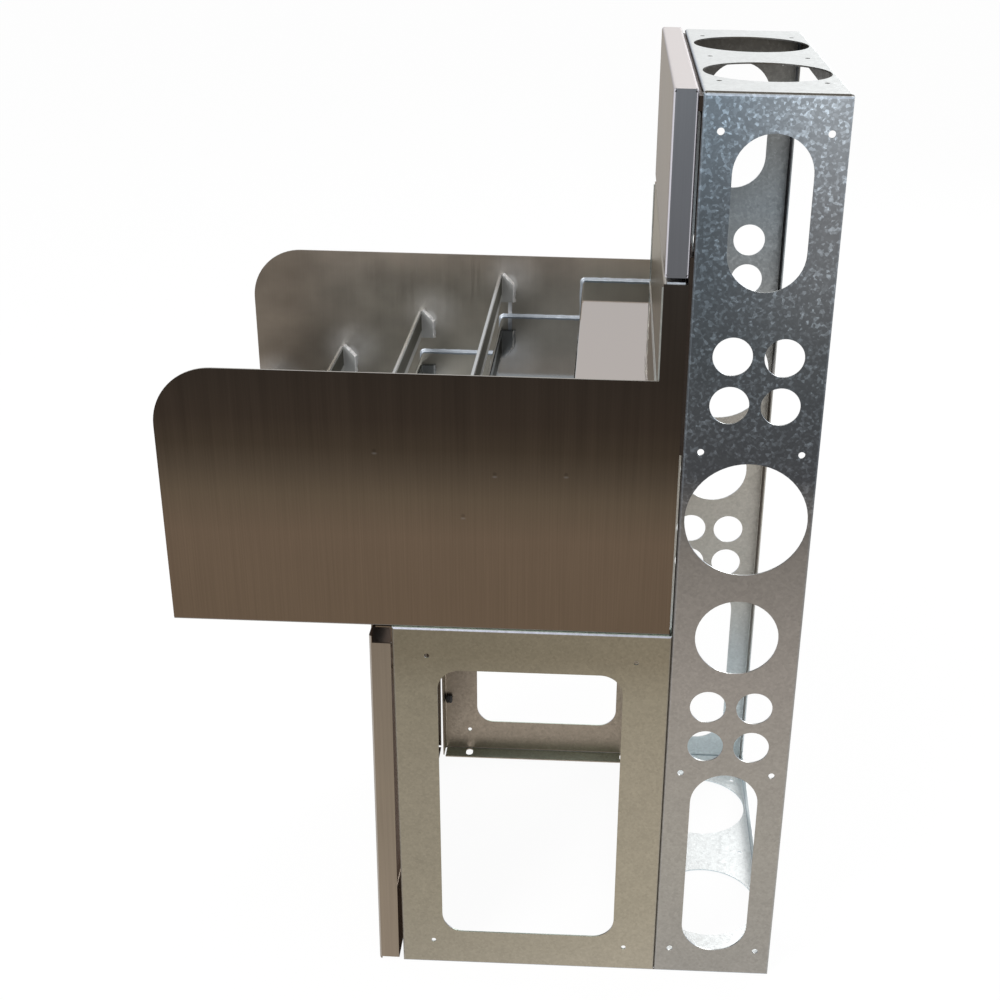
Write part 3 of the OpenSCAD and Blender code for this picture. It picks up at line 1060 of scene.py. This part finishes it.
@dataclass
class BarDie:
    """The upright galvanised frame, with its plates and the rails on its front."""

    sides: Names = ("die_side_left", "die_side_right")
    plates: Names = ("die_top_plate", "die_bottom_plate")
    rails: Names = ("upper_mounting_rail", "lower_mounting_rail")
    # Painted reflection on the sides' outer faces, changing with height: darkest from about 0.65 m
    # to 0.8 m.
    tones: Tones = ladder(
        (0.00, 0.33, 0.31, 0.28), (0.18, 0.35, 0.325, 0.285), (0.40, 0.30, 0.27, 0.24),
        (0.56, 0.20, 0.18, 0.16), (0.65, 0.058, 0.060, 0.064), (0.78, 0.068, 0.075, 0.081),
        (0.92, 0.126, 0.139, 0.153), (1.03, 0.235, 0.27, 0.305),
    )
    # Painted light on the inward faces and on the plates, changing with height.
    inner_tones: Tones = ladder(
        (0.00, 0.62, 0.70, 0.73), (0.18, 0.46, 0.50, 0.51), (0.28, 0.45, 0.435, 0.40),
        (0.50, 0.46, 0.43, 0.38), (0.72, 0.33, 0.345, 0.35), (0.82, 0.29, 0.325, 0.35),
        (0.94, 0.22, 0.22, 0.21), (1.03, 0.11, 0.10, 0.085),
    )
    # Painted sky reflection on the faces that look up.
    level_tones: Tones = ladder((0.00, 0.84, 0.86, 0.86), (1.03, 0.66, 0.68, 0.68))
    gap_shade: Tones = ladder((0.0, 0.035, 0.027, 0.022))

    def finish(self) -> None:
        """Dresses the sides, the plates and the rails."""
        front, back = (corner.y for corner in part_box(self.sides[0]))
        gap = Side(Look.FRONT, self.gap_shade, matt=1.0, up_to_y=front + FLANGE_REACH)
        # Painted highlights on the bends and painted sky reflection on faces that look up; the
        # inward faces take their painted light, and the front faces in the gap a painted shade.
        light = SheetLight(
            (0.46, 0.52, 0.60), 0.75, (0.66, 0.68, 0.68), 0.95, 0.10,
            (Side(Look.INWARD, self.inner_tones), gap),
        )
        side = Galvanised(
            "galvanised_spangle", self.tones, light, fleck_share=0.55, mottle=0.10,
            front_y=front, back_y=back, front_painted_light=(0.70, 0.75, 0.78), back_painted_light=(1.42, 1.34, 1.28),
        )
        level = replace(light, top_share=0.0, sides=(Side(Look.UP, self.level_tones, 0.95), gap))
        # The mounting rails stand in the gap behind the face panel: every face of them gets a dark
        # painted shade.
        shaded = SheetLight(
            (0.05, 0.04, 0.035), 0.5, (0.10, 0.07, 0.06), 0.8, 0.5,
            (Side(Look.FRONT, self.gap_shade, matt=1.0),),
        )
        dress(side, *self.sides)
        dress(Galvanised("galvanised_plate", self.inner_tones, level), *self.plates)
        dress(Galvanised("galvanised_strip_painted_shade", self.gap_shade, shaded), *self.rails)


@dataclass
class FaceAndSplash:
    """The stainless face panel on the die, and the backsplash under it."""

    face: str = "face_panel"
    splash: str = "backsplash"
    # Painted reflection on the face panel's outer faces, lighter towards the top.
    face_tones: Tones = ladder(
        (0.85, 0.120, 0.122, 0.132), (0.94, 0.130, 0.136, 0.150), (1.04, 0.150, 0.160, 0.176)
    )
    # Painted reflection on its faces that look forward.
    front_tones: Tones = ladder((0.85, 0.20, 0.172, 0.140), (1.04, 0.27, 0.235, 0.190))
    # Painted reflection on the backsplash, lighter towards the top.
    splash_tones: Tones = ladder((0.72, 0.30, 0.275, 0.24), (0.85, 0.36, 0.33, 0.29))

    def finish(self) -> None:
        """Dresses both."""
        # Painted highlights on the bends and painted sky reflection on faces that look up, for both
        # sheets.
        face_light = SheetLight(
            (0.72, 0.70, 0.76), 0.6, (0.94, 0.91, 0.93), 0.95, 0.75,
            (Side(Look.FRONT, self.front_tones),),
        )
        face = Brushed(
            "face_steel", self.face_tones, face_light, streak=0.06, edge_tint=(0.64, 0.61, 0.58)
        )
        splash_light = SheetLight((0.50, 0.50, 0.52), 0.6, (0.74, 0.74, 0.76), 0.9)
        splash = Brushed(
            "splash_steel", self.splash_tones, splash_light, Grain.ALONG_X,
            edge_tint=(0.46, 0.43, 0.37),
        )
        dress(face, self.face)
        dress(splash, self.splash)


@dataclass
class BottleTray:
    """The stepped deck, its end panels and its rails, with the welds that join them."""

    deck: str = "stepped_deck"
    ends: Names = ("end_panel_left", "end_panel_right")
    rails: Names = tuple(f"bottle_rail_{k}" for k in range(1, 5))
    sheet_t: float = 1.5 * MM
    bend_r: float = 3.2 * MM
    rail_t: float = 3 * MM
    rail_bend_r: float = 5 * MM
    tab_drop: float = 14 * MM
    polish_inset: float = 4 * MM
    polish_lift: float = 6 * MM
    streak_half: float = 3.4 * MM
    bend_steps: int = 4
    # Painted reflection on the end panels' outer faces: dark towards the top, lighter brown towards
    # the floor.
    outer_tones: Tones = ladder(
        (0.46, 0.130, 0.091, 0.060), (0.57, 0.131, 0.092, 0.062), (0.615, 0.103, 0.076, 0.051),
        (0.645, 0.070, 0.052, 0.036), (0.67, 0.048, 0.035, 0.024), (0.70, 0.036, 0.026, 0.019),
        (0.75, 0.029, 0.022, 0.017), (0.85, 0.030, 0.025, 0.021),
    )
    deck_tones: Tones = ladder((0.46, 0.46, 0.42, 0.39), (0.75, 0.50, 0.46, 0.43))
    # Painted reflection on the treads and the ledge, which changes with height.
    level_tones: Tones = ladder(
        (0.62, 0.33, 0.35, 0.36), (0.67, 0.215, 0.23, 0.245), (0.71, 0.215, 0.23, 0.245),
        (0.72, 0.50, 0.455, 0.43),
    )
    # Painted reflection of the far end panel: a darker strip on the far side of the ledge.
    mirror_x: float = -0.134
    mirror_tones: Tones = level_tones[:-1] + ladder((0.72, 0.13, 0.15, 0.15))
    rail_tones: Tones = ladder((0.0, 0.22, 0.21, 0.20))
    tab_tones: Tones = ladder((0.0, 0.40, 0.405, 0.40))
    stitches: tuple[Pair, ...] = ((-0.113, 0.667), (0.010, 0.645), (0.083, 0.647), (-0.023, 0.597))
    wall_x: float = field(init=False)
    wall_t: float = field(init=False)
    treads: list[float] = field(init=False)
    risers: list[float] = field(init=False)

    def __post_init__(self) -> None:
        """Reads the places of the treads and risers from the frame."""
        self.wall_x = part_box(self.deck)[1].x
        self.wall_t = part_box(self.ends[1])[1].x - self.wall_x
        self.treads = [mount_place(f"tier_{k}_tread").z for k in range(1, 5)]
        self.treads.append(mount_place("ledge_face").z)
        self.risers = [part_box(rail)[0].y + self.rail_t for rail in self.rails]
        self.risers.append(2 * self.risers[-1] - self.risers[-2])

    def finish(self) -> None:
        """Dresses the sheets and lays the welds."""
        boxes = [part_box(rail) for rail in self.rails]
        rear_low, rear_high = boxes[-1]
        streak_low = self.treads[3]
        ends = EndPanelSteel(
            "end_panel_steel",
            self.outer_tones,
            # Painted highlights on the bends and painted sky reflection on the edges that look up.
            SheetLight((0.45, 0.44, 0.43), 0.35, (0.50, 0.48, 0.45), 0.8),
            wall_x=self.wall_x + self.wall_t / 2,
            patches=tuple(
                (high.y - self.polish_inset, (low.z + high.z) / 2 + self.polish_lift)
                for low, high in boxes
            ),
            streak_place=(rear_high.y - self.polish_inset, (rear_low.z + streak_low) / 2),
            streak_size=(self.streak_half, rear_low.z - streak_low),
            stitches=self.stitches,
        )
        # Painted highlights on the bends, and painted reflection on the faces that look up.
        deck_light = SheetLight(
            (0.50, 0.54, 0.58), 0.75,
            sides=(
                Side(Look.UP, self.level_tones),
                Side(Look.UP, self.mirror_tones, up_to_x=self.mirror_x, soft=3 * MM),
            ),
        )
        deck = Brushed(
            "deck_steel", self.deck_tones, deck_light, Grain.ALONG_X, streak=0.05, roughness=0.045
        )
        # Painted highlights on the bends and painted sky reflection on faces that look up.
        rail_light = SheetLight(
            (0.5, 0.5, 0.52), 0.6, (0.56, 0.57, 0.58), 1.0,
            sides=(
                Side(Look.INWARD, self.tab_tones, matt=1.0),
                Side(Look.BACK, self.rail_tones, share=0.0, matt=0.6),
            ),
        )
        rail = RailSteel(
            "rail_steel", self.rail_tones, rail_light, Grain.ALONG_X, roughness=0.26,
            feet=tuple(low.z for low, _ in boxes),
            rail_h=boxes[0][1].z - boxes[0][0].z,
        )
        dress(ends, *self.ends)
        dress(deck, self.deck)
        dress(rail, *self.rails)
        self._weld_sheets()
        self._weld_tabs()

    def _deck_line(self) -> tuple[list[Vector], list[Vector]]:
        """The upper edge of the deck, seen from its end, from the backsplash to the apron.

        Returns:
            Points of the edge at X = 0, and the direction out of the sheet at each.
        """
        corners = [(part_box("backsplash")[0].y, self.treads[4])]
        for k in range(4, 0, -1):
            corners += [(self.risers[k], self.treads[k]), (self.risers[k], self.treads[k - 1])]
        corners += [(self.risers[0], self.treads[0]), (self.risers[0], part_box(self.deck)[0].z)]
        points, leans = [], []
        for index, (y, z) in enumerate(corners):
            corner = Vector((0, y, z))
            if index in (0, len(corners) - 1):
                points.append(corner)
                leans.append(UP if index == 0 else AHEAD)
                continue
            outward = index % 2 == 1
            radius = self.bend_r if outward else self.bend_r - self.sheet_t
            side = -1 if outward else 1
            centre = corner + (UP + AHEAD) * radius * side
            for step in range(self.bend_steps + 1):
                share = step / self.bend_steps if outward else 1 - step / self.bend_steps
                angle = math.pi / 2 * share
                lean = UP * math.cos(angle) + AHEAD * math.sin(angle)
                points.append(centre + lean * radius * -side)
                leans.append(lean)
        return points, leans

    def _weld_sheets(self) -> None:
        """Lays the seams at the ends of the deck and of the backsplash, and those between them."""
        line, leans = self._deck_line()
        splash_low, splash_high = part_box("backsplash")
        face_y, ledge = splash_low.y, self.treads[4]
        bend_z = splash_high.z - self.bend_r
        seams, ground = Draft(), Draft()
        for side in (-1, 1):
            inward = Vector((-side, 0, 0))
            wall = Vector((side * self.wall_x, 0, 0))
            Bead(seed=11 + side).lay(seams, [wall + p for p in line], leans, inward)
            ear = [
                wall + Vector((0, y, splash_high.z))
                for y in (face_y + self.bend_r, splash_high.y - self.bend_r)
            ]
            Bead(1.8 * MM, seed=61 + side).lay(seams, ear, [UP] * 2, inward)
            upright = [wall + Vector((0, face_y, z)) for z in (ledge, bend_z)]
            Bead(1.6 * MM, ripple=0.05, seed=21 + side).lay(ground, upright, [AHEAD] * 2, inward)
        level = [Vector((x, face_y, ledge)) for x in (-self.wall_x, self.wall_x)]
        Bead(2.2 * MM, ripple=0.05, seed=31).lay(ground, level, [AHEAD] * 2, UP)
        polished = Plain("polished_weld", (0.36, 0.40, 0.45), (0.45, 0.49, 0.54), 0.6, 0.42)
        seams.finish("tray_weld_seams", polished.paint(), Slot.TRAY)
        flush = Plain("ground_weld", (0.26, 0.265, 0.25), (0.33, 0.33, 0.31))
        ground.finish("backsplash_ground_welds", flush.paint(), Slot.TRAY)

    def _weld_tabs(self) -> None:
        """Lays the beads around the rails' tabs."""
        tabs = Draft()
        for number, rail in enumerate(self.rails):
            low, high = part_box(rail)
            edge = [
                Vector((0, low.y + self.rail_bend_r, high.z)),
                Vector((0, high.y, high.z - self.tab_drop)),
                Vector((0, high.y, low.z)),
            ]
            slope = (edge[1] - edge[0]).normalized()
            over = Vector((0, -slope.z, slope.y))
            leans = [over, (over - AHEAD).normalized(), -AHEAD]
            for side in (-1, 1):
                path = [Vector((side * self.wall_x, 0, 0)) + p for p in edge]
                bead = Bead(3.2 * MM, step=2.5 * MM, ripple=0.22, seed=40 + number)
                bead.lay(tabs, path, leans, Vector((-side, 0, 0)))
        bright = Plain("rail_weld", (0.66, 0.67, 0.68), (0.92, 0.92, 0.93), metallic=0.4)
        tabs.finish("rail_tab_welds", bright.paint(), Slot.TRAY)


@dataclass
class Base:
    """The galvanised base under the tray, with its skirt panel.

    Attributes:
        catch_sections: Place along a catch, from 0 to 1, and how far it stands in there.
    """

    sides: Names = ("base_side_left", "base_side_right")
    channels: Names = ("base_upper_channel", "base_lower_channel")
    hanger: str = "base_skirt_hanger"
    skirt: str = "base_skirt_panel"
    catches: str = "skirt_catches"
    # Painted reflection and shade on the sides' outer faces: lighter near the floor, darker towards
    # the top under the tray.
    tones: Tones = ladder(
        (0.00, 0.345, 0.308, 0.240), (0.10, 0.318, 0.282, 0.212), (0.27, 0.296, 0.260, 0.194),
        (0.38, 0.258, 0.226, 0.164), (0.43, 0.198, 0.168, 0.117), (0.47, 0.190, 0.162, 0.113),
    )
    # Painted light on the inward faces.
    inner_tones: Tones = ladder((0.0, 0.31, 0.26, 0.205))
    # The hanger stands in the shade under the tray; its dark colour is painted shade.
    hanger_tones: Tones = ladder((0.0, 0.12, 0.088, 0.06))
    gap_shade: Tones = ladder((0.0, 0.10, 0.062, 0.04))
    # Painted reflection and shade on the skirt: darker towards the top, under the tray.
    skirt_tones: Tones = ladder(
        (0.00, 0.260, 0.210, 0.159), (0.25, 0.234, 0.189, 0.140), (0.47, 0.188, 0.151, 0.114)
    )
    catch_sections: tuple[Pair, ...] = (
        (0.00, 0.9 * MM), (0.06, 0.3 * MM), (0.14, 0.0), (0.42, 0.0), (0.46, 0.6 * MM),
        (0.56, 0.6 * MM), (0.60, 0.0), (0.86, 0.0), (0.94, 0.3 * MM), (1.00, 0.9 * MM),
    )

    def finish(self) -> None:
        """Dresses the sheets and models the catches."""
        front, back = (corner.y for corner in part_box(self.sides[0]))
        gap = Side(Look.FRONT, self.gap_shade, matt=1.0, up_to_y=front + FLANGE_REACH)
        # Painted highlights on the bends and painted sky reflection on faces that look up; the
        # inward faces take their painted light, and the front faces in the gap a painted shade.
        light = SheetLight(
            (0.40, 0.42, 0.50), 0.8, (0.60, 0.70, 0.62), 0.9, 0.08,
            (Side(Look.INWARD, self.inner_tones), gap),
        )
        side = Galvanised(
            "galvanised_beige", self.tones, light, crystal=3.2 * MM, mottle=0.10,
            front_y=front, back_y=back, front_painted_light=(0.90, 0.90, 0.90), back_painted_light=(1.12, 1.12, 1.13),
            painted_light_low=-0.3,
        )
        # Painted shade on the hanger's bends and on its faces that look up as well.
        shade = self.gap_shade[0].colour
        hidden = SheetLight(shade, 0.9, shade, 0.9, 0.9)
        # Painted highlight on the skirt's bends, painted shade on its top edge under the tray and
        # on its inner face behind.
        skirt_light = SheetLight(
            (0.50, 0.46, 0.42), 0.3, (0.11, 0.08, 0.06), 0.9, 0.7,
            (Side(Look.BACK, self.gap_shade, matt=1.0),),
        )
        dress(side, *self.sides)
        dress(Galvanised("galvanised_inner", self.tones, light, crystal=4 * MM), *self.channels)
        dress(Galvanised("galvanised_shaded", self.hanger_tones, hidden), self.hanger)
        dress(Brushed("skirt_steel", self.skirt_tones, skirt_light), self.skirt)
        self._catches()

    def _catches(self) -> None:
        """Replaces the catches with moulded blocks that have rounded edges and a groove."""
        plastic = Plain(
            "moulded_black", (0.016, 0.016, 0.017), (0.035, 0.035, 0.035), 0.0, 0.55, 900.0
        )
        draft = Draft()
        for low, high in solids_of(self.catches):
            depth = high.y - low.y
            draft.loft([
                rounded_ring(low, high, low.y + depth * share, inset)
                for share, inset in self.catch_sections
            ])
        piece = draft.finish("skirt_catch_pair", plastic.paint(), Slot.CATCH)
        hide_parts(self.catches)


def rounded_ring(
    low: Vector, high: Vector, y: float, inset: float, radius: float = 1.2 * MM, steps: int = 4
) -> Ring:
    """A rectangle with rounded corners, across X and Z.

    Args:
        low: Lowest corner of the box that holds it.
        high: Highest corner of that box.
        y: Place of the ring.
        inset: How far it stands in from the box.
        radius: Radius of its corners.
        steps: Steps around each corner.

    Returns:
        Its points.
    """
    x0, x1 = low.x + inset + radius, high.x - inset - radius
    z0, z1 = low.z + inset + radius, high.z - inset - radius
    ring = []
    for quarter, (x, z) in enumerate(((x1, z1), (x0, z1), (x0, z0), (x1, z0))):
        for step in range(steps + 1):
            angle = math.pi / 2 * (quarter + step / steps)
            ring.append(Vector((x + radius * math.cos(angle), y, z + radius * math.sin(angle))))
    return ring


def solids_of(node: str, reach: float = 20 * MM) -> list[tuple[Vector, Vector]]:
    """The box of each separate solid of a CAD node.

    Args:
        node: Name of the node.
        reach: Points closer than this to a solid's first point belong to it.

    Returns:
        Lowest and highest corner of each solid.
    """
    groups: list[list[Vector]] = []
    for vertex in frame["nodes"][node].data.vertices:
        home = next((g for g in groups if (g[0] - vertex.co).length < reach), None)
        if home is None:
            groups.append([vertex.co])
        else:
            home.append(vertex.co)
    return [(Vector(map(min, *group)), Vector(map(max, *group))) for group in groups]


class Facing(Enum):
    """Direction that the outer end of a fastener looks."""

    UP = Matrix.Identity(3)
    BACK = Matrix.Rotation(math.radians(-90), 3, "X")
    FRONT = Matrix.Rotation(math.radians(90), 3, "X")


@dataclass
class Hardware:
    """Bolts, nuts, screws and rivets, with threads, chamfers and drives.

    Each fastener is a row of sections along its axis. A section gives, for an angle, the radius and
    the depth below the fastener's outer end.

    Attributes:
        bolt_d, screw_d: Diameters of the threads; the rivets' shanks are as thick as a screw.
        pitch: Rise of the threads.
        lead: Plain shank under a head.
        clearance: How much wider a nut's bore is than the thread, on the radius.
        sink: Chamfer of a nut's bore.
        hexagon: Distance over the corners of a hexagon, in thread diameters.
        chamfer: Where the chamfer of a hexagon begins, as a share of its flats.
        steps: Points around each section.
    """

    bolt_d: float = 6 * MM
    screw_d: float = 4.8 * MM
    pitch: float = 1 * MM
    lead: float = 0.2 * MM
    clearance: float = 0.15 * MM
    sink: float = 0.4 * MM
    hexagon: float = 1.8
    chamfer: float = 0.97
    steps: int = 48

    def finish(self) -> None:
        """Replaces every group of fasteners with detailed ones."""
        zinc = Plain("bright_zinc", (0.62, 0.62, 0.60), (0.72, 0.71, 0.66), roughness=0.28).paint()
        for node, name, facing, sections in (
            ("tray_bolts", "tray_hex_bolts", Facing.UP, self._hex_bolt),
            ("base_bolts", "base_hex_bolts", Facing.FRONT, self._hex_bolt),
            ("panel_screws", "panel_pan_screws", Facing.BACK, self._pan_screw),
            ("tray_nuts", "tray_hex_nuts", Facing.UP, partial(self._nut, self.bolt_d)),
            ("base_nuts", "base_hex_nuts", Facing.BACK, partial(self._nut, self.bolt_d)),
            ("panel_nuts", "panel_hex_nuts", Facing.FRONT, partial(self._nut, self.screw_d)),
            ("hanger_rivets", "hanger_pop_rivets", Facing.BACK, self._rivet),
        ):
            draft = Draft()
            outward = facing.value @ UP
            for low, high in solids_of(node):
                length = abs((high - low).dot(outward))
                start = (low + high) / 2 + outward * length / 2
                rings = [self._ring(row, start, facing) for row in sections(length)]
                # The sections of a nut go round its ring.
                draft.loft(rings, loop=node.endswith("nuts"))
            piece = draft.finish(name, zinc, Slot.FASTENER)
            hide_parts(node)

    def _ring(self, section: Section, start: Vector, facing: Facing) -> Ring:
        """Points of a section.

        Args:
            section: The section.
            start: Middle of the fastener's outer end.
            facing: Direction that this end looks.

        Returns:
            The points.
        """
        ring = []
        for step in range(self.steps):
            angle = math.tau * step / self.steps
            radius, depth = section(angle)
            local = Vector((radius * math.cos(angle), radius * math.sin(angle), -depth))
            ring.append(start + facing.value @ local)
        return ring

    @staticmethod
    def _rounds(*rows: Pair) -> list[Section]:
        """Circles, each given by its radius and depth."""
        return [lambda angle, row=row: row for row in rows]

    def _flat(self, diameter: float) -> float:
        """Half the distance over the flats of the hexagon for a thread."""
        return diameter * self.hexagon / 2 * math.cos(math.pi / 6)

    def _hex(self, diameter: float, depth: float, sign: int) -> Section:
        """A hexagon.

        Args:
            diameter: Diameter of the thread.
            depth: Depth of its flats' edge.
            sign: 1 where its corners are chamfered deeper, -1 where they come back, 0 for neither.

        Returns:
            The section.
        """
        flat = self._flat(diameter)

        def section(angle: float) -> Pair:
            """Measures the section.

            Args:
                angle: Angle around the axis.

            Returns:
                Radius and depth.
            """
            radius = flat / math.cos((angle % (math.pi / 3)) - math.pi / 6)
            drop = max(0.0, radius - flat * self.chamfer) * math.tan(math.radians(30))
            return radius, depth + sign * drop

        return section

    def _thread(self, radius: float, start: float, end: float) -> list[Section]:
        """A threaded shank with a chamfered tip.

        Args:
            radius: Outside radius.
            start: Depth at which it starts.
            end: Depth of its tip.

        Returns:
            The sections.
        """
        depth_of_cut = 0.3 * self.pitch
        rows = []
        count = max(4, round((end - start) / self.pitch * 4))
        for i in range(count):

            def section(angle: float, depth: float = start + (end - start) * i / count) -> Pair:
                """Radius and depth at an angle."""
                phase = (depth / self.pitch - angle / math.tau) % 1.0
                return radius - depth_of_cut * abs(2 * phase - 1), depth

            rows.append(section)
        return rows + self._rounds((radius * 0.84, end))

    def _hex_bolt(self, length: float) -> list[Section]:
        """Hexagon bolt.

        Args:
            length: Length of the whole fastener.

        Returns:
            The sections, from the outer end.
        """
        size, radius, head = self.bolt_d, self.bolt_d / 2, self.bolt_d * 0.6
        return [
            *self._rounds((self._flat(size) * self.chamfer, 0.0)),
            self._hex(size, 0.0, 1),
            self._hex(size, head, 0),
            *self._rounds((radius, head)),
            *self._thread(radius, head + self.lead, length),
        ]

    def _pan_screw(self, length: float) -> list[Section]:
        """Pan head screw with a cross recess.

        Args:
            length: Length of the whole fastener.

        Returns:
            The sections, from the outer end.
        """
        radius, head, shank = self.screw_d * 0.95, self.screw_d * 0.5, self.screw_d / 2
        arm, half_width = radius * 0.58, radius * 0.13

        def cross(scale: float, depth: float) -> Section:
            """A section of the cross recess.

            Args:
                scale: Length of the arms, as a share.
                depth: Depth of the section.

            Returns:
                The section.
            """
            def section(angle: float) -> Pair:
                """Measures the section.

                Args:
                    angle: Angle around the axis.

                Returns:
                    Radius and depth.
                """
                c, s = max(abs(math.cos(angle)), 1e-6), max(abs(math.sin(angle)), 1e-6)
                across = min(arm * scale / c, half_width / s)
                upright = min(arm * scale / s, half_width / c)
                return max(across, upright), depth

            return section

        dome = self._rounds(
            (radius * 0.72, 0.0), (radius * 0.90, head * 0.12), (radius * 0.99, head * 0.38),
            (radius, head * 0.6), (radius, head), (shank, head),
        )
        recess = [cross(0.55, head * 0.72), cross(1.0, head * 0.02)]
        return recess + dome + self._thread(shank, head + self.lead, length)

    def _nut(self, diameter: float, length: float) -> list[Section]:
        """Hexagon nut with a chamfered bore.

        Args:
            diameter: Diameter of the thread.
            length: Height of the nut.

        Returns:
            The sections, from the outer end.
        """
        edge, bore = self._flat(diameter) * self.chamfer, diameter / 2 + self.clearance
        return [
            *self._rounds((bore + self.sink, 0.0), (edge, 0.0)),
            self._hex(diameter, 0.0, 1),
            self._hex(diameter, length, -1),
            *self._rounds((edge, length), (bore + self.sink, length)),
            *self._rounds((bore, length - self.sink), (bore, self.sink)),
        ]

    def _rivet(self, length: float) -> list[Section]:
        """Blind rivet with a domed head and the socket that its pin left.

        Args:
            length: Length of the whole fastener.

        Returns:
            The sections, from the outer end.
        """
        radius, head, shank = self.screw_d * 0.95, self.screw_d * 0.3, self.screw_d / 2
        return self._rounds(
            (shank * 0.45, head * 0.9), (shank * 0.5, head * 0.1), (radius * 0.45, 0.0),
            (radius * 0.80, head * 0.35), (radius, head * 0.9), (radius, head), (shank, head),
            (shank, length - head), (radius * 0.9, length - head),
            (radius * 0.8, length - head * 0.4), (radius * 0.4, length),
        )


@dataclass
class Studio:
    """Floor, light and the camera at the photograph's angle."""

    eye: Vector = field(default_factory=lambda: Vector((1.598, 0.1215, 1.244)))
    yaw: float = math.radians(-1.66)
    pitch: float = math.radians(25.37)
    roll: float = math.radians(1.15)
    focal_pixels: float = 1466.0
    principal_point: Pair = (564.0, 522.0)
    floor_half: float = 20.0
    floor_share: float = 0.95
    sky: float = 0.72
    sensor: float = 36.0
    softbox: float = 1.8

    def finish(self) -> None:
        """Sets the stage."""
        self._floor()
        self._world()
        self._lamp("key_softbox", (2.6, -2.0, 2.9), 130.0)
        self._lamp("rear_softbox", (-2.4, 2.2, 2.6), 70.0)
        self._camera()
        bpy.context.scene.view_settings.view_transform = "Standard"

    def _seen(self, shader: Shader) -> Field:
        """1 for rays of the camera and for mirrored and transmitted rays.

        Args:
            shader: The shader being drawn.

        Returns:
            The mask.
        """
        path = shader.add("LightPath")
        glossy = path.out("Is Camera Ray").larger(path.out("Is Glossy Ray"))
        return glossy.larger(path.out("Is Transmission Ray"))

    def _floor(self) -> None:
        """Pale floor that keeps a soft shadow."""
        material = bpy.data.materials.new("pale_floor")
        shader = Shader(material)
        colour = (1.0 + shader.noise(3.0, 2.0) * 0.004) * (0.96, 0.96, 0.96)
        diffuse = shader.add("BsdfDiffuse", inputs={"Color": colour})
        glow = shader.add("Emission", inputs={"Color": WHITE, "Strength": 1.0})
        mixed = shader.add(
            "MixShader",
            inputs={0: self._seen(shader) * self.floor_share, 1: diffuse, 2: glow},
        )
        shader.add("OutputMaterial", inputs={"Surface": mixed})
        half = self.floor_half
        data = bpy.data.meshes.new("studio_floor")
        corners = [(-half, -half, 0), (half, -half, 0), (half, half, 0), (-half, half, 0)]
        data.from_pydata(corners, [], [(0, 1, 2, 3)])
        data.materials.append(material)
        floor = place_object("studio_floor", data)

    def _world(self) -> None:
        """Even sky: white where it is seen, and softer as a lamp."""
        world = bpy.data.worlds.new("studio_sky")
        bpy.context.scene.world = world
        shader = Shader(world)
        strength = self.sky + self._seen(shader) * (1.0 - self.sky)
        sky = shader.add("Background", inputs={"Color": WHITE, "Strength": strength})
        shader.add("OutputWorld", inputs={"Surface": sky})

    def _lamp(self, name: str, place: Place, power: float) -> None:
        """A square softbox that looks at the middle of the object.

        Args:
            name: Its name.
            place: Where it hangs.
            power: Its power, in watts.
        """
        data = bpy.data.lights.new(name, "AREA")
        data.size = self.softbox
        data.energy = power
        lamp = place_object(name, data)
        low, high = CAD_BOX
        lamp.location = place
        lamp.rotation_euler = ((low + high) / 2 - lamp.location).to_track_quat("-Z", "Y").to_euler()

    def _camera(self) -> None:
        """Camera fitted to the photograph."""
        ahead = Vector((
            -math.cos(self.yaw) * math.cos(self.pitch),
            math.sin(self.yaw) * math.cos(self.pitch),
            -math.sin(self.pitch),
        ))
        right = ahead.cross(UP).normalized()
        up = right.cross(ahead)
        tilted_right = right * math.cos(self.roll) + up * math.sin(self.roll)
        tilted_up = up * math.cos(self.roll) - right * math.sin(self.roll)
        data = bpy.data.cameras.new("photo_camera")
        data.sensor_width = self.sensor
        data.lens = self.focal_pixels / IMAGE_SIZE * self.sensor
        data.shift_x = (IMAGE_SIZE / 2 - self.principal_point[0]) / IMAGE_SIZE
        data.shift_y = (self.principal_point[1] - IMAGE_SIZE / 2) / IMAGE_SIZE
        camera = place_object("photo_camera", data)
        turn = Matrix((tilted_right, tilted_up, -ahead)).transposed()
        camera.matrix_world = Matrix.Translation(self.eye) @ turn.to_4x4()
        bpy.context.scene.camera = camera


def main() -> None:
    """Builds the studio and every sub-assembly, in order."""
    logging.basicConfig(level=logging.INFO, format="%(name)s: %(message)s")
    for part in (Studio(), BarDie(), FaceAndSplash(), BottleTray(), Base(), Hardware()):
        part.finish()
        LOG.info("finished %s", type(part).__name__)


if __name__ == "__main__":
    main()
